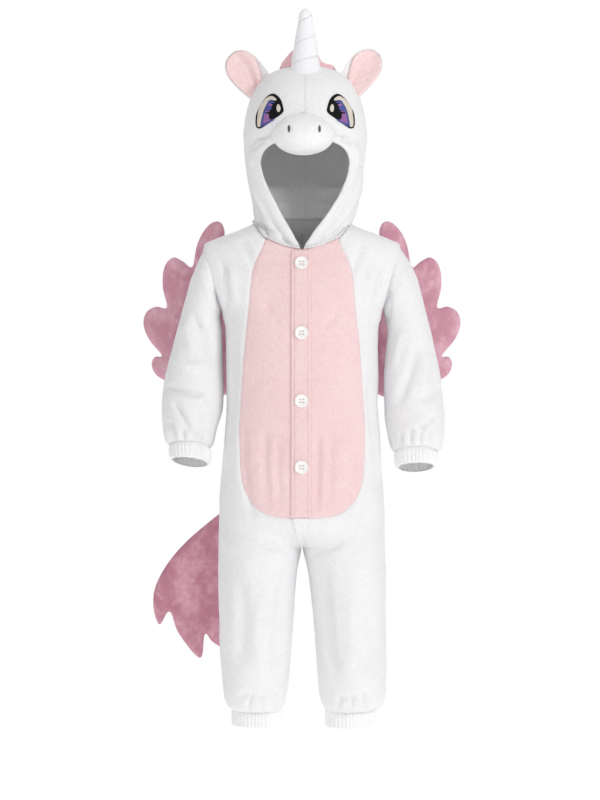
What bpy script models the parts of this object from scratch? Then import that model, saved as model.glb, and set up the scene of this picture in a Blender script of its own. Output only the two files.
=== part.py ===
"""A child's hooded unicorn onesie in fleece, worn and hollow: a buttoned body with legs, sleeves, hood, horn, ears, mane, wings and tail."""

from math import cos, hypot, pi, sin, sqrt

import bmesh
import bpy
from mathutils import Vector

# Sizes in metres. X is across the wearer, Z up, the front faces -Y.
CLOTH = 0.0022
SEAM_GAP = 0.0003
HALF_GAP = 0.00015
ROOT_GAP = 0.0010
SQUARENESS = 2.3

# Body: height, half-width.
BODY_WIDTH = [
    (-0.51, 0.133), (-0.42, 0.1316), (-0.387, 0.129), (-0.314, 0.1245), (-0.25, 0.1212), (-0.19, 0.1215),
    (-0.14, 0.1225), (-0.118, 0.125), (-0.107, 0.130), (-0.09, 0.139), (-0.075, 0.148), (-0.05, 0.157),
    (-0.03, 0.160), (-0.015, 0.156), (-0.004, 0.141), (0.005, 0.120), (0.012, 0.101), (0.022, 0.079),
    (0.035, 0.071), (0.07, 0.068),
]
# Body and legs: height, half-depth in front.
FRONT_DEPTH = [
    (-0.76, 0.040), (-0.745, 0.052), (-0.72, 0.060), (-0.68, 0.066), (-0.62, 0.072), (-0.54, 0.082),
    (-0.50, 0.090), (-0.45, 0.096), (-0.38, 0.099), (-0.30, 0.097), (-0.20, 0.092), (-0.12, 0.087),
    (-0.07, 0.081), (-0.03, 0.073), (0.0, 0.066), (0.02, 0.060), (0.07, 0.052),
]
# Body and legs: height, half-depth behind.
BACK_DEPTH = [
    (-0.76, 0.040), (-0.745, 0.052), (-0.72, 0.060), (-0.68, 0.066), (-0.62, 0.074), (-0.54, 0.086),
    (-0.50, 0.096), (-0.43, 0.105), (-0.38, 0.103), (-0.30, 0.090), (-0.20, 0.083), (-0.12, 0.084),
    (-0.08, 0.078), (-0.03, 0.068), (0.0, 0.060), (0.02, 0.053), (0.07, 0.044),
]
# Legs: height, then how far the outer and the inner edge lie from the centre line, for each side.
LEG_OUTER = {
    -1: [
        (-0.757, 0.113), (-0.745, 0.1205), (-0.73, 0.125), (-0.688, 0.129), (-0.64, 0.132), (-0.54, 0.133),
        (-0.44, 0.133),
    ],
    1: [
        (-0.757, 0.119), (-0.745, 0.129), (-0.73, 0.133), (-0.69, 0.135), (-0.64, 0.1352), (-0.54, 0.1335),
        (-0.44, 0.133),
    ],
}
LEG_INNER = {
    -1: [
        (-0.757, 0.031), (-0.74, 0.027), (-0.713, 0.0225), (-0.664, 0.0176), (-0.615, 0.0138), (-0.5416, 0.0085),
        (-0.495, 0.0015),
    ],
    1: [
        (-0.757, 0.036), (-0.74, 0.0305), (-0.713, 0.0262), (-0.651, 0.0215), (-0.59, 0.0157), (-0.537, 0.0096),
        (-0.495, 0.0015),
    ],
}
CROTCH = -0.495
CROTCH_HEIGHT = 0.055
ANKLE = -0.757

BODY_ROWS = [
    0.058, 0.036, 0.02, 0.009, -0.001, -0.012, -0.024, -0.042, -0.062, -0.084, -0.104, -0.122, -0.16, -0.21,
    -0.265, -0.32, -0.375, -0.42, -0.44, -0.456, -0.472, -0.484, -0.4915, -0.495, -0.52, -0.565, -0.625,
    -0.68, -0.72, -0.742, -0.757,
]
BODY_COLUMNS = 8

# The neck seam's height in front, by the distance from the centre line, and behind.
NECK_FRONT = [
    (0.0, -0.0235), (0.012, -0.0215), (0.03, -0.017), (0.045, -0.0110), (0.059, -0.0040), (0.069, 0.008),
    (0.077, 0.022), (0.10, 0.055),
]
NECK_BACK = 0.034
# Each armhole lies in a plane through these two points: across, height.
ARM_TOP, ARM_BOTTOM = (0.153, -0.018), (0.1285, -0.112)

# Belly panel: height, half-width; then its rounded lower end.
BELLY_WIDTH = [
    (-0.46, 0.098), (-0.36, 0.0985), (-0.31, 0.0975), (-0.23, 0.092), (-0.10, 0.080), (-0.055, 0.076),
    (-0.015, 0.061), (0.02, 0.05),
]
BELLY_ROUND, BELLY_END = -0.335, -0.444

# Sleeves: outer edge (across, height), inner edge (across, height), half-depth, middle in depth, tilt.
SLEEVES = {
    -1: [
        (0.153, -0.018, 0.1285, -0.112, 0.060, 0.000, 0.00),
        (0.1655, -0.036, 0.1300, -0.1185, 0.053, 0.001, 0.00),
        (0.1790, -0.070, 0.1325, -0.128, 0.048, 0.003, 0.00),
        (0.1950, -0.1277, 0.1345, -0.150, 0.045, 0.004, 0.00),
        (0.2125, -0.1930, 0.1325, -0.196, 0.047, 0.003, 0.04),
        (0.2208, -0.2304, 0.1270, -0.236, 0.050, 0.000, 0.10),
        (0.2235, -0.2690, 0.1270, -0.270, 0.050, -0.006, 0.18),
        (0.2215, -0.3080, 0.1365, -0.306, 0.045, -0.014, 0.24),
        (0.2150, -0.3320, 0.1435, -0.337, 0.037, -0.020, 0.28),
    ],
    1: [
        (0.153, -0.018, 0.1285, -0.112, 0.060, 0.000, 0.00),
        (0.1700, -0.034, 0.1300, -0.1185, 0.053, 0.001, 0.00),
        (0.1830, -0.060, 0.1330, -0.130, 0.048, 0.003, 0.00),
        (0.1960, -0.1100, 0.1370, -0.150, 0.045, 0.004, 0.00),
        (0.2130, -0.1750, 0.1335, -0.190, 0.047, 0.003, 0.04),
        (0.2225, -0.2350, 0.1305, -0.238, 0.050, 0.000, 0.10),
        (0.2280, -0.2858, 0.1315, -0.281, 0.050, -0.006, 0.18),
        (0.2262, -0.3216, 0.1365, -0.317, 0.045, -0.014, 0.24),
        (0.2190, -0.3430, 0.1440, -0.343, 0.037, -0.020, 0.28),
    ],
}
# Sleeve cuffs: the same seven sizes at the top, the middle and the end.
SLEEVE_CUFFS = {
    -1: [
        (0.2120, -0.3335, 0.1445, -0.3395, 0.0330, -0.0203, 0.28),
        (0.2105, -0.3440, 0.1455, -0.3500, 0.0325, -0.0230, 0.28),
        (0.2090, -0.3545, 0.1470, -0.3610, 0.0330, -0.0260, 0.28),
    ],
    1: [
        (0.2165, -0.3445, 0.1460, -0.3455, 0.0330, -0.0203, 0.28),
        (0.2145, -0.3550, 0.1480, -0.3560, 0.0325, -0.0230, 0.28),
        (0.2120, -0.3655, 0.1500, -0.3665, 0.0330, -0.0260, 0.28),
    ],
}
# Leg cuffs: middle, half-width, then the heights of the top and the end.
LEG_CUFFS = {-1: (-0.0720, 0.0395, -0.7580, -0.7790), 1: (0.0780, 0.0405, -0.7580, -0.7810)}
LEG_CUFF_DEPTH = 0.036

# Hood sections: height at its middle, slope, half-width, half-depth in front and behind, middle in depth.
HOOD = [
    (0.022, 0.68, 0.078, 0.064, 0.050, 0.0),
    (0.040, 0.56, 0.083, 0.071, 0.068, 0.0),
    (0.060, 0.43, 0.0865, 0.080, 0.086, 0.0),
    (0.092, 0.24, 0.0925, 0.091, 0.101, 0.002),
    (0.122, 0.11, 0.0960, 0.098, 0.108, 0.004),
    (0.153, 0.04, 0.0975, 0.102, 0.112, 0.006),
    (0.182, 0.0, 0.0970, 0.102, 0.112, 0.007),
    (0.208, 0.0, 0.0930, 0.098, 0.108, 0.008),
    (0.232, 0.0, 0.0840, 0.088, 0.098, 0.009),
    (0.2535, 0.0, 0.0690, 0.071, 0.081, 0.010),
    (0.267, 0.0, 0.0490, 0.050, 0.058, 0.010),
    (0.2735, 0.0, 0.0260, 0.027, 0.031, 0.010),
    (0.2755, 0.0, 0.0, 0.0, 0.0, 0.010),
]
HOOD_CENTRE = 0.005
HOOD_COLUMNS = 24
HOOD_BACK_SEAM = 0.018
# Face opening: height, half-width.
FACE = [
    (-0.030, 0.003), (-0.018, 0.004), (-0.006, 0.011), (0.004, 0.017), (0.028, 0.034), (0.050, 0.047), (0.073, 0.059),
    (0.098, 0.0685), (0.112, 0.0712), (0.124, 0.0705), (0.134, 0.064), (0.141, 0.052), (0.146, 0.034), (0.148, 0.0),
]
MUZZLE_PLACE, MUZZLE_SIZE = (0.002, 0.1555), (0.049, 0.0335, 0.047)
EYE_OFFSET, EYE_HEIGHT = 0.0562, 0.1945
EYE_SIZE, EYE_LEAN = (0.0178, 0.0300), 0.42
HORN_BASE, HORN_TIP, HORN_RADIUS, HORN_TURN = (0.0055, -0.034, 0.250), 0.360, 0.0262, 0.0325
BUTTON_HEIGHTS = (-0.0455, -0.1547, -0.2608, -0.3637)
BUTTON_RADIUS, BUTTON_HOLE = 0.0105, 0.0012
BAND_EDGES, BAND_END, BAND_TAIL_END = (-0.0172, 0.0135), -0.4425, -0.486

# Wing outline, from its root: across, height.
WING = [
    (0.028, -0.004), (0.060, 0.022), (0.105, 0.034), (0.135, 0.036), (0.158, 0.022), (0.174, -0.006), (0.181, -0.040),
    (0.197, -0.030), (0.213, -0.024), (0.227, -0.040), (0.230, -0.072), (0.223, -0.106), (0.241, -0.105), (0.257, -0.114),
    (0.262, -0.134), (0.252, -0.160), (0.231, -0.186), (0.243, -0.188), (0.248, -0.202), (0.238, -0.220), (0.205, -0.235),
    (0.192, -0.228), (0.186, -0.245), (0.160, -0.256), (0.130, -0.252), (0.095, -0.232), (0.060, -0.205),
    (0.030, -0.182), (0.025, -0.125), (0.025, -0.055),
]
WING_THICK, WING_ROOT, WING_SWEEP = 0.016, 0.089, 0.145
# Tail outline, from its root: across, height.
TAIL = [
    (-0.012, -0.372), (-0.045, -0.385), (-0.095, -0.418), (-0.150, -0.458), (-0.205, -0.508), (-0.240, -0.560),
    (-0.248, -0.600),
    (-0.238, -0.634), (-0.221, -0.612), (-0.205, -0.650), (-0.170, -0.690), (-0.162, -0.650), (-0.148, -0.664),
    (-0.120, -0.676), (-0.112, -0.636), (-0.096, -0.646), (-0.066, -0.628), (-0.052, -0.580), (-0.046, -0.520),
    (-0.030, -0.450), (-0.010, -0.410),
]
TAIL_THICK, TAIL_DEPTH = 0.022, 0.109

COLOURS = {
    "white_fleece": (0.85, 0.84, 0.83), "belly_pink": (0.86, 0.66, 0.67), "cuff_white": (0.86, 0.84, 0.80),
    "muzzle_white": (0.89, 0.88, 0.87), "horn_white": (0.86, 0.85, 0.84), "ear_pink": (0.80, 0.50, 0.52),
    "mane_pink": (0.72, 0.38, 0.42), "wing_rose": (0.50, 0.26, 0.33), "tail_rose": (0.46, 0.22, 0.29),
    "eye_black": (0.02, 0.02, 0.02), "button_white": (0.86, 0.84, 0.82),
}


# ---- small tools ----

def along(stations, place):
    """The value at a place on a smooth line through the stations, which never overshoots them."""
    if place <= stations[0][0]:
        return stations[0][1]
    if place >= stations[-1][0]:
        return stations[-1][1]
    i = max(j for j in range(len(stations) - 1) if stations[j][0] <= place)
    (x0, y0), (x1, y1) = stations[i], stations[i + 1]
    step, rise = x1 - x0, (y1 - y0) / (x1 - x0)

    def slope(j):
        if j <= 0 or j >= len(stations) - 1:
            return rise
        (xa, ya), (xb, yb), (xc, yc) = stations[j - 1 : j + 2]
        before, after = (yb - ya) / (xb - xa), (yc - yb) / (xc - xb)
        return 0.0 if before * after <= 0 else 2 * before * after / (before + after)

    t, start, end = (place - x0) / step, slope(i), slope(i + 1)
    lift = (t - 2 * t * t + t**3) * step * start + (t**3 - t * t) * step * end
    return y0 + (y1 - y0) * (3 * t * t - 2 * t**3) + lift


def column(rows, index, place):
    """One size of a table of sections, at a place counted in sections."""
    return along([(i, row[index]) for i, row in enumerate(rows)], place)


def ease(t):
    t = min(max(t, 0.0), 1.0)
    return t * t * (3 - 2 * t)


def rounding(angle, power=SQUARENESS):
    """How far a ring is pushed out from an ellipse toward a rounded rectangle."""
    return (abs(cos(angle)) ** power + abs(sin(angle)) ** power) ** (-1 / power)


def root(function, low, high):
    """Where a function that starts negative turns positive."""
    for _ in range(40):
        middle = (low + high) / 2
        if function(middle) < 0:
            low = middle
        else:
            high = middle
    return (low + high) / 2


def normal_of(form, u, v, outward):
    """The form's outward normal, from its points close by."""
    step = 1e-3
    across = form(u + step, v) - form(u - step, v)
    down = form(u, v + step) - form(u, v - step)
    normal = across.cross(down)
    if normal.length < 1e-12:
        return outward(form(u, v))
    normal.normalize()
    return normal if normal.dot(outward(form(u, v))) > 0 else -normal


# ---- the forms ----

def depth_at(y_sign, z):
    return along(FRONT_DEPTH if y_sign < 0 else BACK_DEPTH, z)


def body_field(point):
    """Below zero inside the upper body."""
    x, y, z = point
    across = abs(x) / along(BODY_WIDTH, z)
    through = abs(y) / depth_at(y, z)
    return across**SQUARENESS + through**SQUARENESS - 1


def half_body(side, turn, z):
    """A point of one half of the body: turn runs from centre front (-pi), by the side (0), to centre back (pi)."""
    half = turn / 2
    push = rounding(half)
    depth = depth_at(turn, z)
    x, y = along(BODY_WIDTH, z) * cos(half) * push, depth * sin(half) * push
    if z < CROTCH + CROTCH_HEIGHT:
        rise = max(0.0, (z - CROTCH) / CROTCH_HEIGHT)
        inseam = abs(sin(half)) ** 6
        share = inseam * (1 - sqrt(max(0.0, 1 - (1 - rise) ** 2))) + (1 - inseam) * ease(1 - rise)
        outer, inner = along(LEG_OUTER[side], z), along(LEG_INNER[side], z)
        push = rounding(turn, 2.15)
        leg_x = (outer + inner) / 2 + (outer - inner) / 2 * cos(turn) * push
        leg_y = depth * sin(turn) * push * (0.9 + 0.1 * ease((CROTCH - z) / 0.12))
        x, y = x + (leg_x - x) * share, y + (leg_y - y) * share
    return Vector((side * max(x, HALF_GAP), y, z))


def body_outward(side):
    def outward(point):
        middle = side * 0.072 if point.z < CROTCH else 0.0
        return Vector((point.x - middle, point.y, 0.0))

    return outward


def ring_point(section, turn):
    """A point of a sleeve section: turn 0 is its outer edge, pi/2 its back."""
    side, outer_x, outer_z, inner_x, inner_z, depth, middle, tilt = section
    x = (outer_x + inner_x) / 2 + (outer_x - inner_x) / 2 * cos(turn)
    z = (outer_z + inner_z) / 2 + (outer_z - inner_z) / 2 * cos(turn)
    back = depth * sin(turn)
    return Vector((side * x, middle + back * cos(tilt), z - back * sin(tilt)))


def armhole_point(side, turn):
    """The armhole seam: where the body's surface meets the armhole plane."""
    centre = Vector((side * (ARM_TOP[0] + ARM_BOTTOM[0]) / 2, 0.0, (ARM_TOP[1] + ARM_BOTTOM[1]) / 2))
    half = Vector((side * (ARM_TOP[0] - ARM_BOTTOM[0]) / 2, 0.0, (ARM_TOP[1] - ARM_BOTTOM[1]) / 2))
    way = half.normalized() * cos(turn) * half.length + Vector((0, 0.06 * sin(turn), 0))
    return centre + way * root(lambda r: body_field(centre + way * r), 0.05, 1.8)


def sleeve(table, rooted):
    def form(side, turn, place):
        section = [side] + [column(table[side], i, place) for i in range(7)]
        point = ring_point(section, turn)
        if rooted and place < 1.6:
            point = point.lerp(armhole_point(side, turn), 1 - ease(place / 1.6))
        return point

    return form


def sleeve_outward(table, side):
    def outward(point):
        rows = table[side]
        near = min(rows, key=lambda row: abs((row[1] + row[3]) / 2 - point.z))
        middle = Vector((side * (near[0] + near[2]) / 2, near[5], (near[1] + near[3]) / 2))
        return point - middle

    return outward


def hood_form(turn, place):
    """A point of the hood: turn 0 is the wearer's left, -pi/2 the front; place counts sections up from the neck."""
    height, slope, width, front, behind, middle = (column(HOOD, i, place) for i in range(6))
    push = rounding(turn, 2.12)
    y = (front if sin(turn) < 0 else behind) * sin(turn) * push
    point = Vector((HOOD_CENTRE + width * cos(turn) * push, middle + y, height + slope * y))
    if place < 1.7:
        point = neck_point(turn).lerp(point, ease(place / 1.7))
    return point


def neck_point(turn):
    """The neck seam: where the body's surface meets the seam's height."""
    def ring(z):
        push = rounding(turn)
        return Vector((along(BODY_WIDTH, z) * cos(turn) * push, depth_at(sin(turn), z) * sin(turn) * push, z))

    return ring(root(lambda z: neck_gap(ring(z)), -0.035, 0.05))


def neck_gap(point):
    """How far a point is above the neck seam's height."""
    share = ease((point.y + 0.012) / 0.03)
    front = along(NECK_FRONT, abs(point.x))
    return point.z - front - (NECK_BACK - front) * share


def hood_outward(point):
    return point - Vector((HOOD_CENTRE, 0.01, 0.15))


# ---- working with cloth ----

def sheet(columns, rows, front, back):
    """A grid of cloth. Each point carries the place of its back face."""
    made = bmesh.new()
    layer = made.verts.layers.float_vector.new("back")
    wide, high = len(columns) - 1, len(rows) - 1
    bmesh.ops.create_grid(made, x_segments=wide, y_segments=high, size=1)
    for vert in made.verts:
        u = columns[round((vert.co.x + 1) / 2 * wide)]
        v = rows[round((vert.co.y + 1) / 2 * high)]
        vert.co, vert[layer] = front(u, v), back(u, v)
    bmesh.ops.remove_doubles(made, verts=made.verts, dist=2e-6)
    return made


def trim(cloth, field):
    """Cuts the cloth along the line where a field is zero, and keeps the part where it is above."""
    layer = cloth.verts.layers.float_vector["back"]
    value = {vert: field(vert.co) for vert in cloth.verts}
    value = {vert: 0.0 if abs(v) < 2e-6 else v for vert, v in value.items()}
    line = {vert for vert, v in value.items() if v == 0.0}
    for edge in [e for e in cloth.edges if value[e.verts[0]] * value[e.verts[1]] < 0]:
        low, high = sorted(edge.verts, key=lambda vert: value[vert])
        start, end = low.co.copy(), high.co.copy()
        share = root(lambda t: field(start.lerp(end, t)), 0.0, 1.0)
        place = Vector(low[layer]).lerp(Vector(high[layer]), share)
        _, made = bmesh.utils.edge_split(edge, low, share)
        made.co, made[layer] = start.lerp(end, share), place
        value[made] = 0.0
        line.add(made)
    bmesh.ops.connect_verts(cloth, verts=[vert for vert in cloth.verts if vert in line])
    gone = [face for face in cloth.faces if sum(value[vert] for vert in face.verts) < 0]
    bmesh.ops.delete(cloth, geom=gone, context="FACES")
    for vert in [v for v in cloth.verts if v in line]:
        hold_back_inside(vert, layer, field)
    return cloth


def hold_back_inside(vert, layer, field):
    """Moves the back of a seam's point to its own side of the seam."""
    place = Vector(vert[layer])
    over = field(place)
    if over >= 0:
        return
    slope = slope_of(field, place)
    vert[layer] = place - slope * (over / max(slope.length_squared, 0.25))


def largest(cloth):
    """Keeps the largest connected piece."""
    left, pieces = set(cloth.faces), []
    while left:
        piece, edge = set(), [left.pop()]
        while edge:
            face = edge.pop()
            piece.add(face)
            near = {f for e in face.edges for f in e.link_faces} & left
            left -= near
            edge.extend(near)
        pieces.append(piece)
    pieces.sort(key=lambda p: -sum(face.calc_area() for face in p))
    gone = [face for piece in pieces[1:] for face in piece]
    bmesh.ops.delete(cloth, geom=gone, context="FACES")


def thicken(cloth):
    """Closes a sheet to its back face."""
    largest(cloth)
    layer = cloth.verts.layers.float_vector["back"]
    made = bmesh.ops.extrude_face_region(cloth, geom=cloth.faces[:], use_keep_orig=True)
    for vert in [item for item in made["geom"] if isinstance(item, bmesh.types.BMVert)]:
        vert.co = Vector(vert[layer])


def slope_of(field, point):
    step = 1e-4
    axes = (Vector((1, 0, 0)), Vector((0, 1, 0)), Vector((0, 0, 1)))
    return Vector([(field(point + step * axis) - field(point - step * axis)) / (2 * step) for axis in axes])


def unit_field(shape):
    """Turns a shape function into one that counts metres from its edge."""
    def field(point):
        return shape(point) / max(slope_of(shape, point).length, 1e-6)

    return field


# ---- objects ----

def collection(name, shown=True):
    made = bpy.data.collections.new(name)
    bpy.context.scene.collection.children.link(made)
    made.hide_render = not shown
    return made


def material(name):
    made = bpy.data.materials.get(name)
    if made:
        return made
    made = bpy.data.materials.new(name)
    made.use_nodes = True
    shader = made.node_tree.nodes["Principled BSDF"]
    shader.inputs["Base Color"].default_value = (*COLOURS[name], 1.0)
    shader.inputs["Roughness"].default_value = 0.35 if name == "button_white" else 0.9
    shader.inputs["Metallic"].default_value = 0.0
    return made


def face_out(shape):
    """Makes every face of a closed shape point out."""
    bmesh.ops.recalc_face_normals(shape, faces=shape.faces)
    if shape.calc_volume(signed=True) < 0:
        bmesh.ops.reverse_faces(shape, faces=shape.faces)


def place(name, shape, slot, home):
    face_out(shape)
    data = bpy.data.meshes.new(name)
    shape.to_mesh(data)
    shape.free()
    data.materials.append(material(slot))
    made = bpy.data.objects.new(name, data)
    home.objects.link(made)
    return made


def as_cutter(name, shape, home):
    face_out(shape)
    data = bpy.data.meshes.new(name)
    shape.to_mesh(data)
    shape.free()
    made = bpy.data.objects.new(name, data)
    made.hide_render = True
    made.display_type = "WIRE"
    home.objects.link(made)
    return made


def cut_off(obj, *cutters):
    for cutter in cutters:
        boolean = obj.modifiers.new("fitted to " + cutter.name, "BOOLEAN")
        boolean.operation = "DIFFERENCE"
        boolean.solver = "EXACT"
        boolean.object = cutter


def mirror_name(side):
    return "right" if side < 0 else "left"


# ---- body ----

def neck_field(point):
    """Metres above the neck seam."""
    return neck_gap(point) / slope_of(neck_gap, point).length


def arm_field(side):
    """Metres outside the armhole's plane, and never positive below the arm."""
    rise = Vector((ARM_TOP[0] - ARM_BOTTOM[0], 0.0, ARM_TOP[1] - ARM_BOTTOM[1])).normalized()
    out = Vector((rise.z, 0.0, -rise.x))
    start = Vector((ARM_BOTTOM[0], 0.0, ARM_BOTTOM[1]))

    def field(point):
        local = Vector((side * point.x, point.y, point.z))
        return min((local - start).dot(out), point.z - ARM_BOTTOM[1] + 0.013)

    return field


def belly_shape(point):
    """Above zero inside the belly panel's outline."""
    width = along(BELLY_WIDTH, point.z)
    down = max(0.0, (BELLY_ROUND - point.z) / (BELLY_ROUND - BELLY_END))
    return 1 - (abs(point.x) / width) ** 3.2 - down**3.2


belly_field = unit_field(belly_shape)


def body_sheet(side, facing):
    """One side of the body from neck to ankle, in front (facing -1) or behind (facing 1)."""
    columns = [facing * pi * i / BODY_COLUMNS for i in range(BODY_COLUMNS + 1)]

    def held(point):
        y = min(point.y, -HALF_GAP) if facing < 0 else max(point.y, HALF_GAP)
        return Vector((side * max(side * point.x, HALF_GAP), y, point.z))

    def front(turn, z):
        return held(half_body(side, turn, z))

    def back(turn, z):
        normal = normal_of(lambda u, v: half_body(side, u, v), turn, z, body_outward(side))
        return held(half_body(side, turn, z) - normal * CLOTH)

    cloth = sheet(columns, BODY_ROWS, front, back)
    trim(cloth, lambda p: -neck_field(p) - HALF_GAP)
    arm = arm_field(side)
    return trim(cloth, lambda p: -arm(p) - HALF_GAP)


def build_body(home):
    for side in (-1, 1):
        hand = mirror_name(side)
        back = body_sheet(side, 1)
        thicken(back)
        place("back_" + hand, back, "white_fleece", home)
        front = trim(body_sheet(side, -1), lambda p: -belly_field(p) - HALF_GAP)
        thicken(front)
        place("front_" + hand, front, "white_fleece", home)
        belly = trim(body_sheet(side, -1), lambda p: belly_field(p) - HALF_GAP)
        thicken(belly)
        place("belly_" + hand, belly, "belly_pink", home)


def front_on_grid(x, z):
    """The front's surface as the cloth's own straight facets give it near the centre."""
    centre = half_body(1, -pi, z)
    near = half_body(1, -pi + pi / BODY_COLUMNS, z)
    return centre.y + (near.y - centre.y) * abs(x) / near.x


def band_point(x, z, lift):
    step = 2e-3
    slope = (front_on_grid(x, z + step) - front_on_grid(x, z - step)) / (2 * step)
    tall = sqrt(1 + slope * slope)
    return Vector((x, front_on_grid(x, z) - lift / tall, z - lift * slope / tall))


def band_rows(top, end):
    inside = [z for z in BODY_ROWS if end + 0.002 < z < top - 0.002]
    return [top] + inside + [end]


def build_band(home):
    """The button band, laid on the front, and its white lower end."""
    low, high = SEAM_GAP + 0.0001, SEAM_GAP + 0.0001 + CLOTH
    left, right = BAND_EDGES
    columns = [left, 0.0, right]
    rows = band_rows(0.0, BAND_END)
    cloth = sheet(columns, rows, lambda x, z: band_point(x, z, high), lambda x, z: band_point(x, z, low))
    trim(cloth, lambda p: -neck_field(p) - 0.0022)
    thicken(cloth)
    place("button_band", cloth, "belly_pink", home)

    rows = [BAND_END - SEAM_GAP, -0.456, -0.468, -0.478, BAND_TAIL_END]
    edges = [left, right]
    cloth = sheet(edges, rows, lambda x, z: band_end_point(x, z, high), lambda x, z: band_end_point(x, z, low))
    thicken(cloth)
    place("button_band_end", cloth, "white_fleece", home)


def band_end_point(x, z, lift):
    """The band's end narrows downward and is flat across."""
    share = (z - BAND_TAIL_END) / (BAND_END - BAND_TAIL_END)
    point = band_point(0.0, z, lift)
    point.x = x * (0.22 + 0.66 * share)
    return point


def build_buttons(home):
    lift = SEAM_GAP + CLOTH + 0.0006
    for number, z in enumerate(BUTTON_HEIGHTS, 1):
        shape = bmesh.new()
        round_ = {"segments": 16, "radius1": BUTTON_RADIUS, "radius2": BUTTON_RADIUS * 0.9, "depth": 0.003}
        bmesh.ops.create_cone(shape, cap_ends=True, **round_)
        for vert in shape.verts:
            vert.co = Vector((vert.co.x, -vert.co.z - 0.0015, vert.co.y))
        centre = band_point(-0.001, z, lift)
        up = (band_point(-0.001, z + 0.01, lift) - band_point(-0.001, z - 0.01, lift)).normalized()
        out = Vector((1, 0, 0)).cross(up).normalized()
        facing = 1 if out.y < 0 else -1
        for vert in shape.verts:
            vert.co = centre + Vector((1, 0, 0)) * vert.co.x - out * vert.co.y * facing + up * vert.co.z
        button = place(f"button_{number}", shape, "button_white", home)
        holes = bmesh.new()
        for across in (-0.0022, 0.0022):
            for tall in (-0.0022, 0.0022):
                drill = {"segments": 6, "radius1": BUTTON_HOLE, "radius2": BUTTON_HOLE, "depth": 0.02}
                made = bmesh.ops.create_cone(holes, cap_ends=True, **drill)
                for vert in made["verts"]:
                    spot = Vector((vert.co.x + across, 0, 0)) + up * (vert.co.y + tall)
                    vert.co = centre + spot + out * vert.co.z
        cut_off(button, as_cutter(f"button_{number}_holes", holes, bpy.data.collections["cutters"]))


def build_sleeves(home):
    turns = [2 * pi * i / 16 for i in range(17)]
    for side in (-1, 1):
        hand = mirror_name(side)
        kinds = (("sleeve", SLEEVES, "white_fleece", True), ("sleeve_cuff", SLEEVE_CUFFS, "cuff_white", False))
        for kind, table, slot, rooted in kinds:
            form = sleeve(table, rooted)
            outward = sleeve_outward(table, side)
            last = len(table[side]) - 1
            places = [0, 0.5, 1, 1.6, 2.3, 3, 4, 5, 6, 7, 7.6, 8] if rooted else [0, 1, 2]

            def front(turn, at):
                return form(side, turn, at)

            def back(turn, at):
                inset = min(max(at, 0.002), last - 0.002)
                normal = normal_of(lambda u, v: form(side, u, v), turn, inset, outward)
                return form(side, turn, at) - normal * CLOTH

            cloth = sheet(turns, places, front, back)
            if rooted:
                plane = arm_plane(side)
                layer = cloth.verts.layers.float_vector["back"]
                for vert in cloth.verts:
                    vert.co = push_out(vert.co, plane)
                    vert[layer] = push_out(Vector(vert[layer]), plane)
            thicken(cloth)
            place(f"{kind}_{hand}", cloth, slot, home)


def arm_plane(side):
    rise = Vector((ARM_TOP[0] - ARM_BOTTOM[0], 0.0, ARM_TOP[1] - ARM_BOTTOM[1])).normalized()
    return Vector((side * ARM_BOTTOM[0], 0.0, ARM_BOTTOM[1])), Vector((side * rise.z, 0.0, -rise.x))


def push_out(point, plane):
    """Keeps the sleeve's root on its own side of the armhole plane."""
    start, out = plane
    inside = HALF_GAP - (point - start).dot(out)
    return point + out * inside if 0 < inside < 0.004 else point


def build_leg_cuffs(home):
    turns = [2 * pi * i / 20 for i in range(21)]
    for side in (-1, 1):
        middle, width, top, end = LEG_CUFFS[side]

        def ring(turn, share, inset):
            flare = 1 + 0.02 * (2 * share - 1) ** 2
            z = top + (end - top) * share
            x = middle + (width * flare - inset) * cos(turn)
            return Vector((x, (LEG_CUFF_DEPTH * flare - inset) * sin(turn), z))

        cloth = sheet(turns, [0.0, 0.5, 1.0], lambda u, v: ring(u, v, 0.0), lambda u, v: ring(u, v, CLOTH))
        thicken(cloth)
        place("leg_cuff_" + mirror_name(side), cloth, "cuff_white", home)


# ---- hood ----

def face_field(point):
    """Metres inside the face opening, with its top a round line."""
    x = point.x - HOOD_CENTRE * ease((point.z + 0.02) / 0.08)
    if point.y > 0.0:
        return -0.05
    wide = 0.0712
    if point.z > 0.112:
        far = hypot(x / wide, (point.z - 0.112) / 0.036)
        power = (abs(x / wide) ** 2.6 + abs((point.z - 0.112) / 0.036) ** 2.6) ** (1 / 2.6)
        slope = max(far / wide * 1.25, 1e-3)
        return (1 - power) / slope if far > 1e-3 else 0.036
    width = along(FACE, point.z)
    lean = (along(FACE, point.z + 1e-3) - along(FACE, point.z - 1e-3)) / 2e-3
    return (width - abs(x)) / sqrt(1 + lean * lean)


HOOD_PLACES = [0, 0.8, 1.6, 2.3, 3, 3.7, 4.4, 5, 6, 7, 8, 9, 10, 11, 12]


def hood_cloth(turns, places, lift=0.0, thickness=CLOTH, seam=True):
    def at(turn, place_, depth):
        low = 0.002 if place_ < 0.002 else place_
        high = min(low, 11.9)
        if place_ > 11.99:
            return hood_form(0.0, 12) + Vector((0, 0, 1)) * depth
        normal = normal_of(hood_form, turn, high, hood_outward)
        return hood_form(turn, place_) + normal * depth

    cloth = sheet(turns, places, lambda u, v: at(u, v, lift), lambda u, v: at(u, v, lift - thickness))
    if seam:
        layer = cloth.verts.layers.float_vector["back"]
        for vert in cloth.verts:
            vert.co = above_neck(vert.co)
            vert[layer] = above_neck(Vector(vert[layer]))
    return cloth


def above_neck(point):
    below = ROOT_GAP - neck_field(point)
    if not 0 < below < 0.008:
        return point
    return point + slope_of(neck_gap, point).normalized() * below


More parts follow.
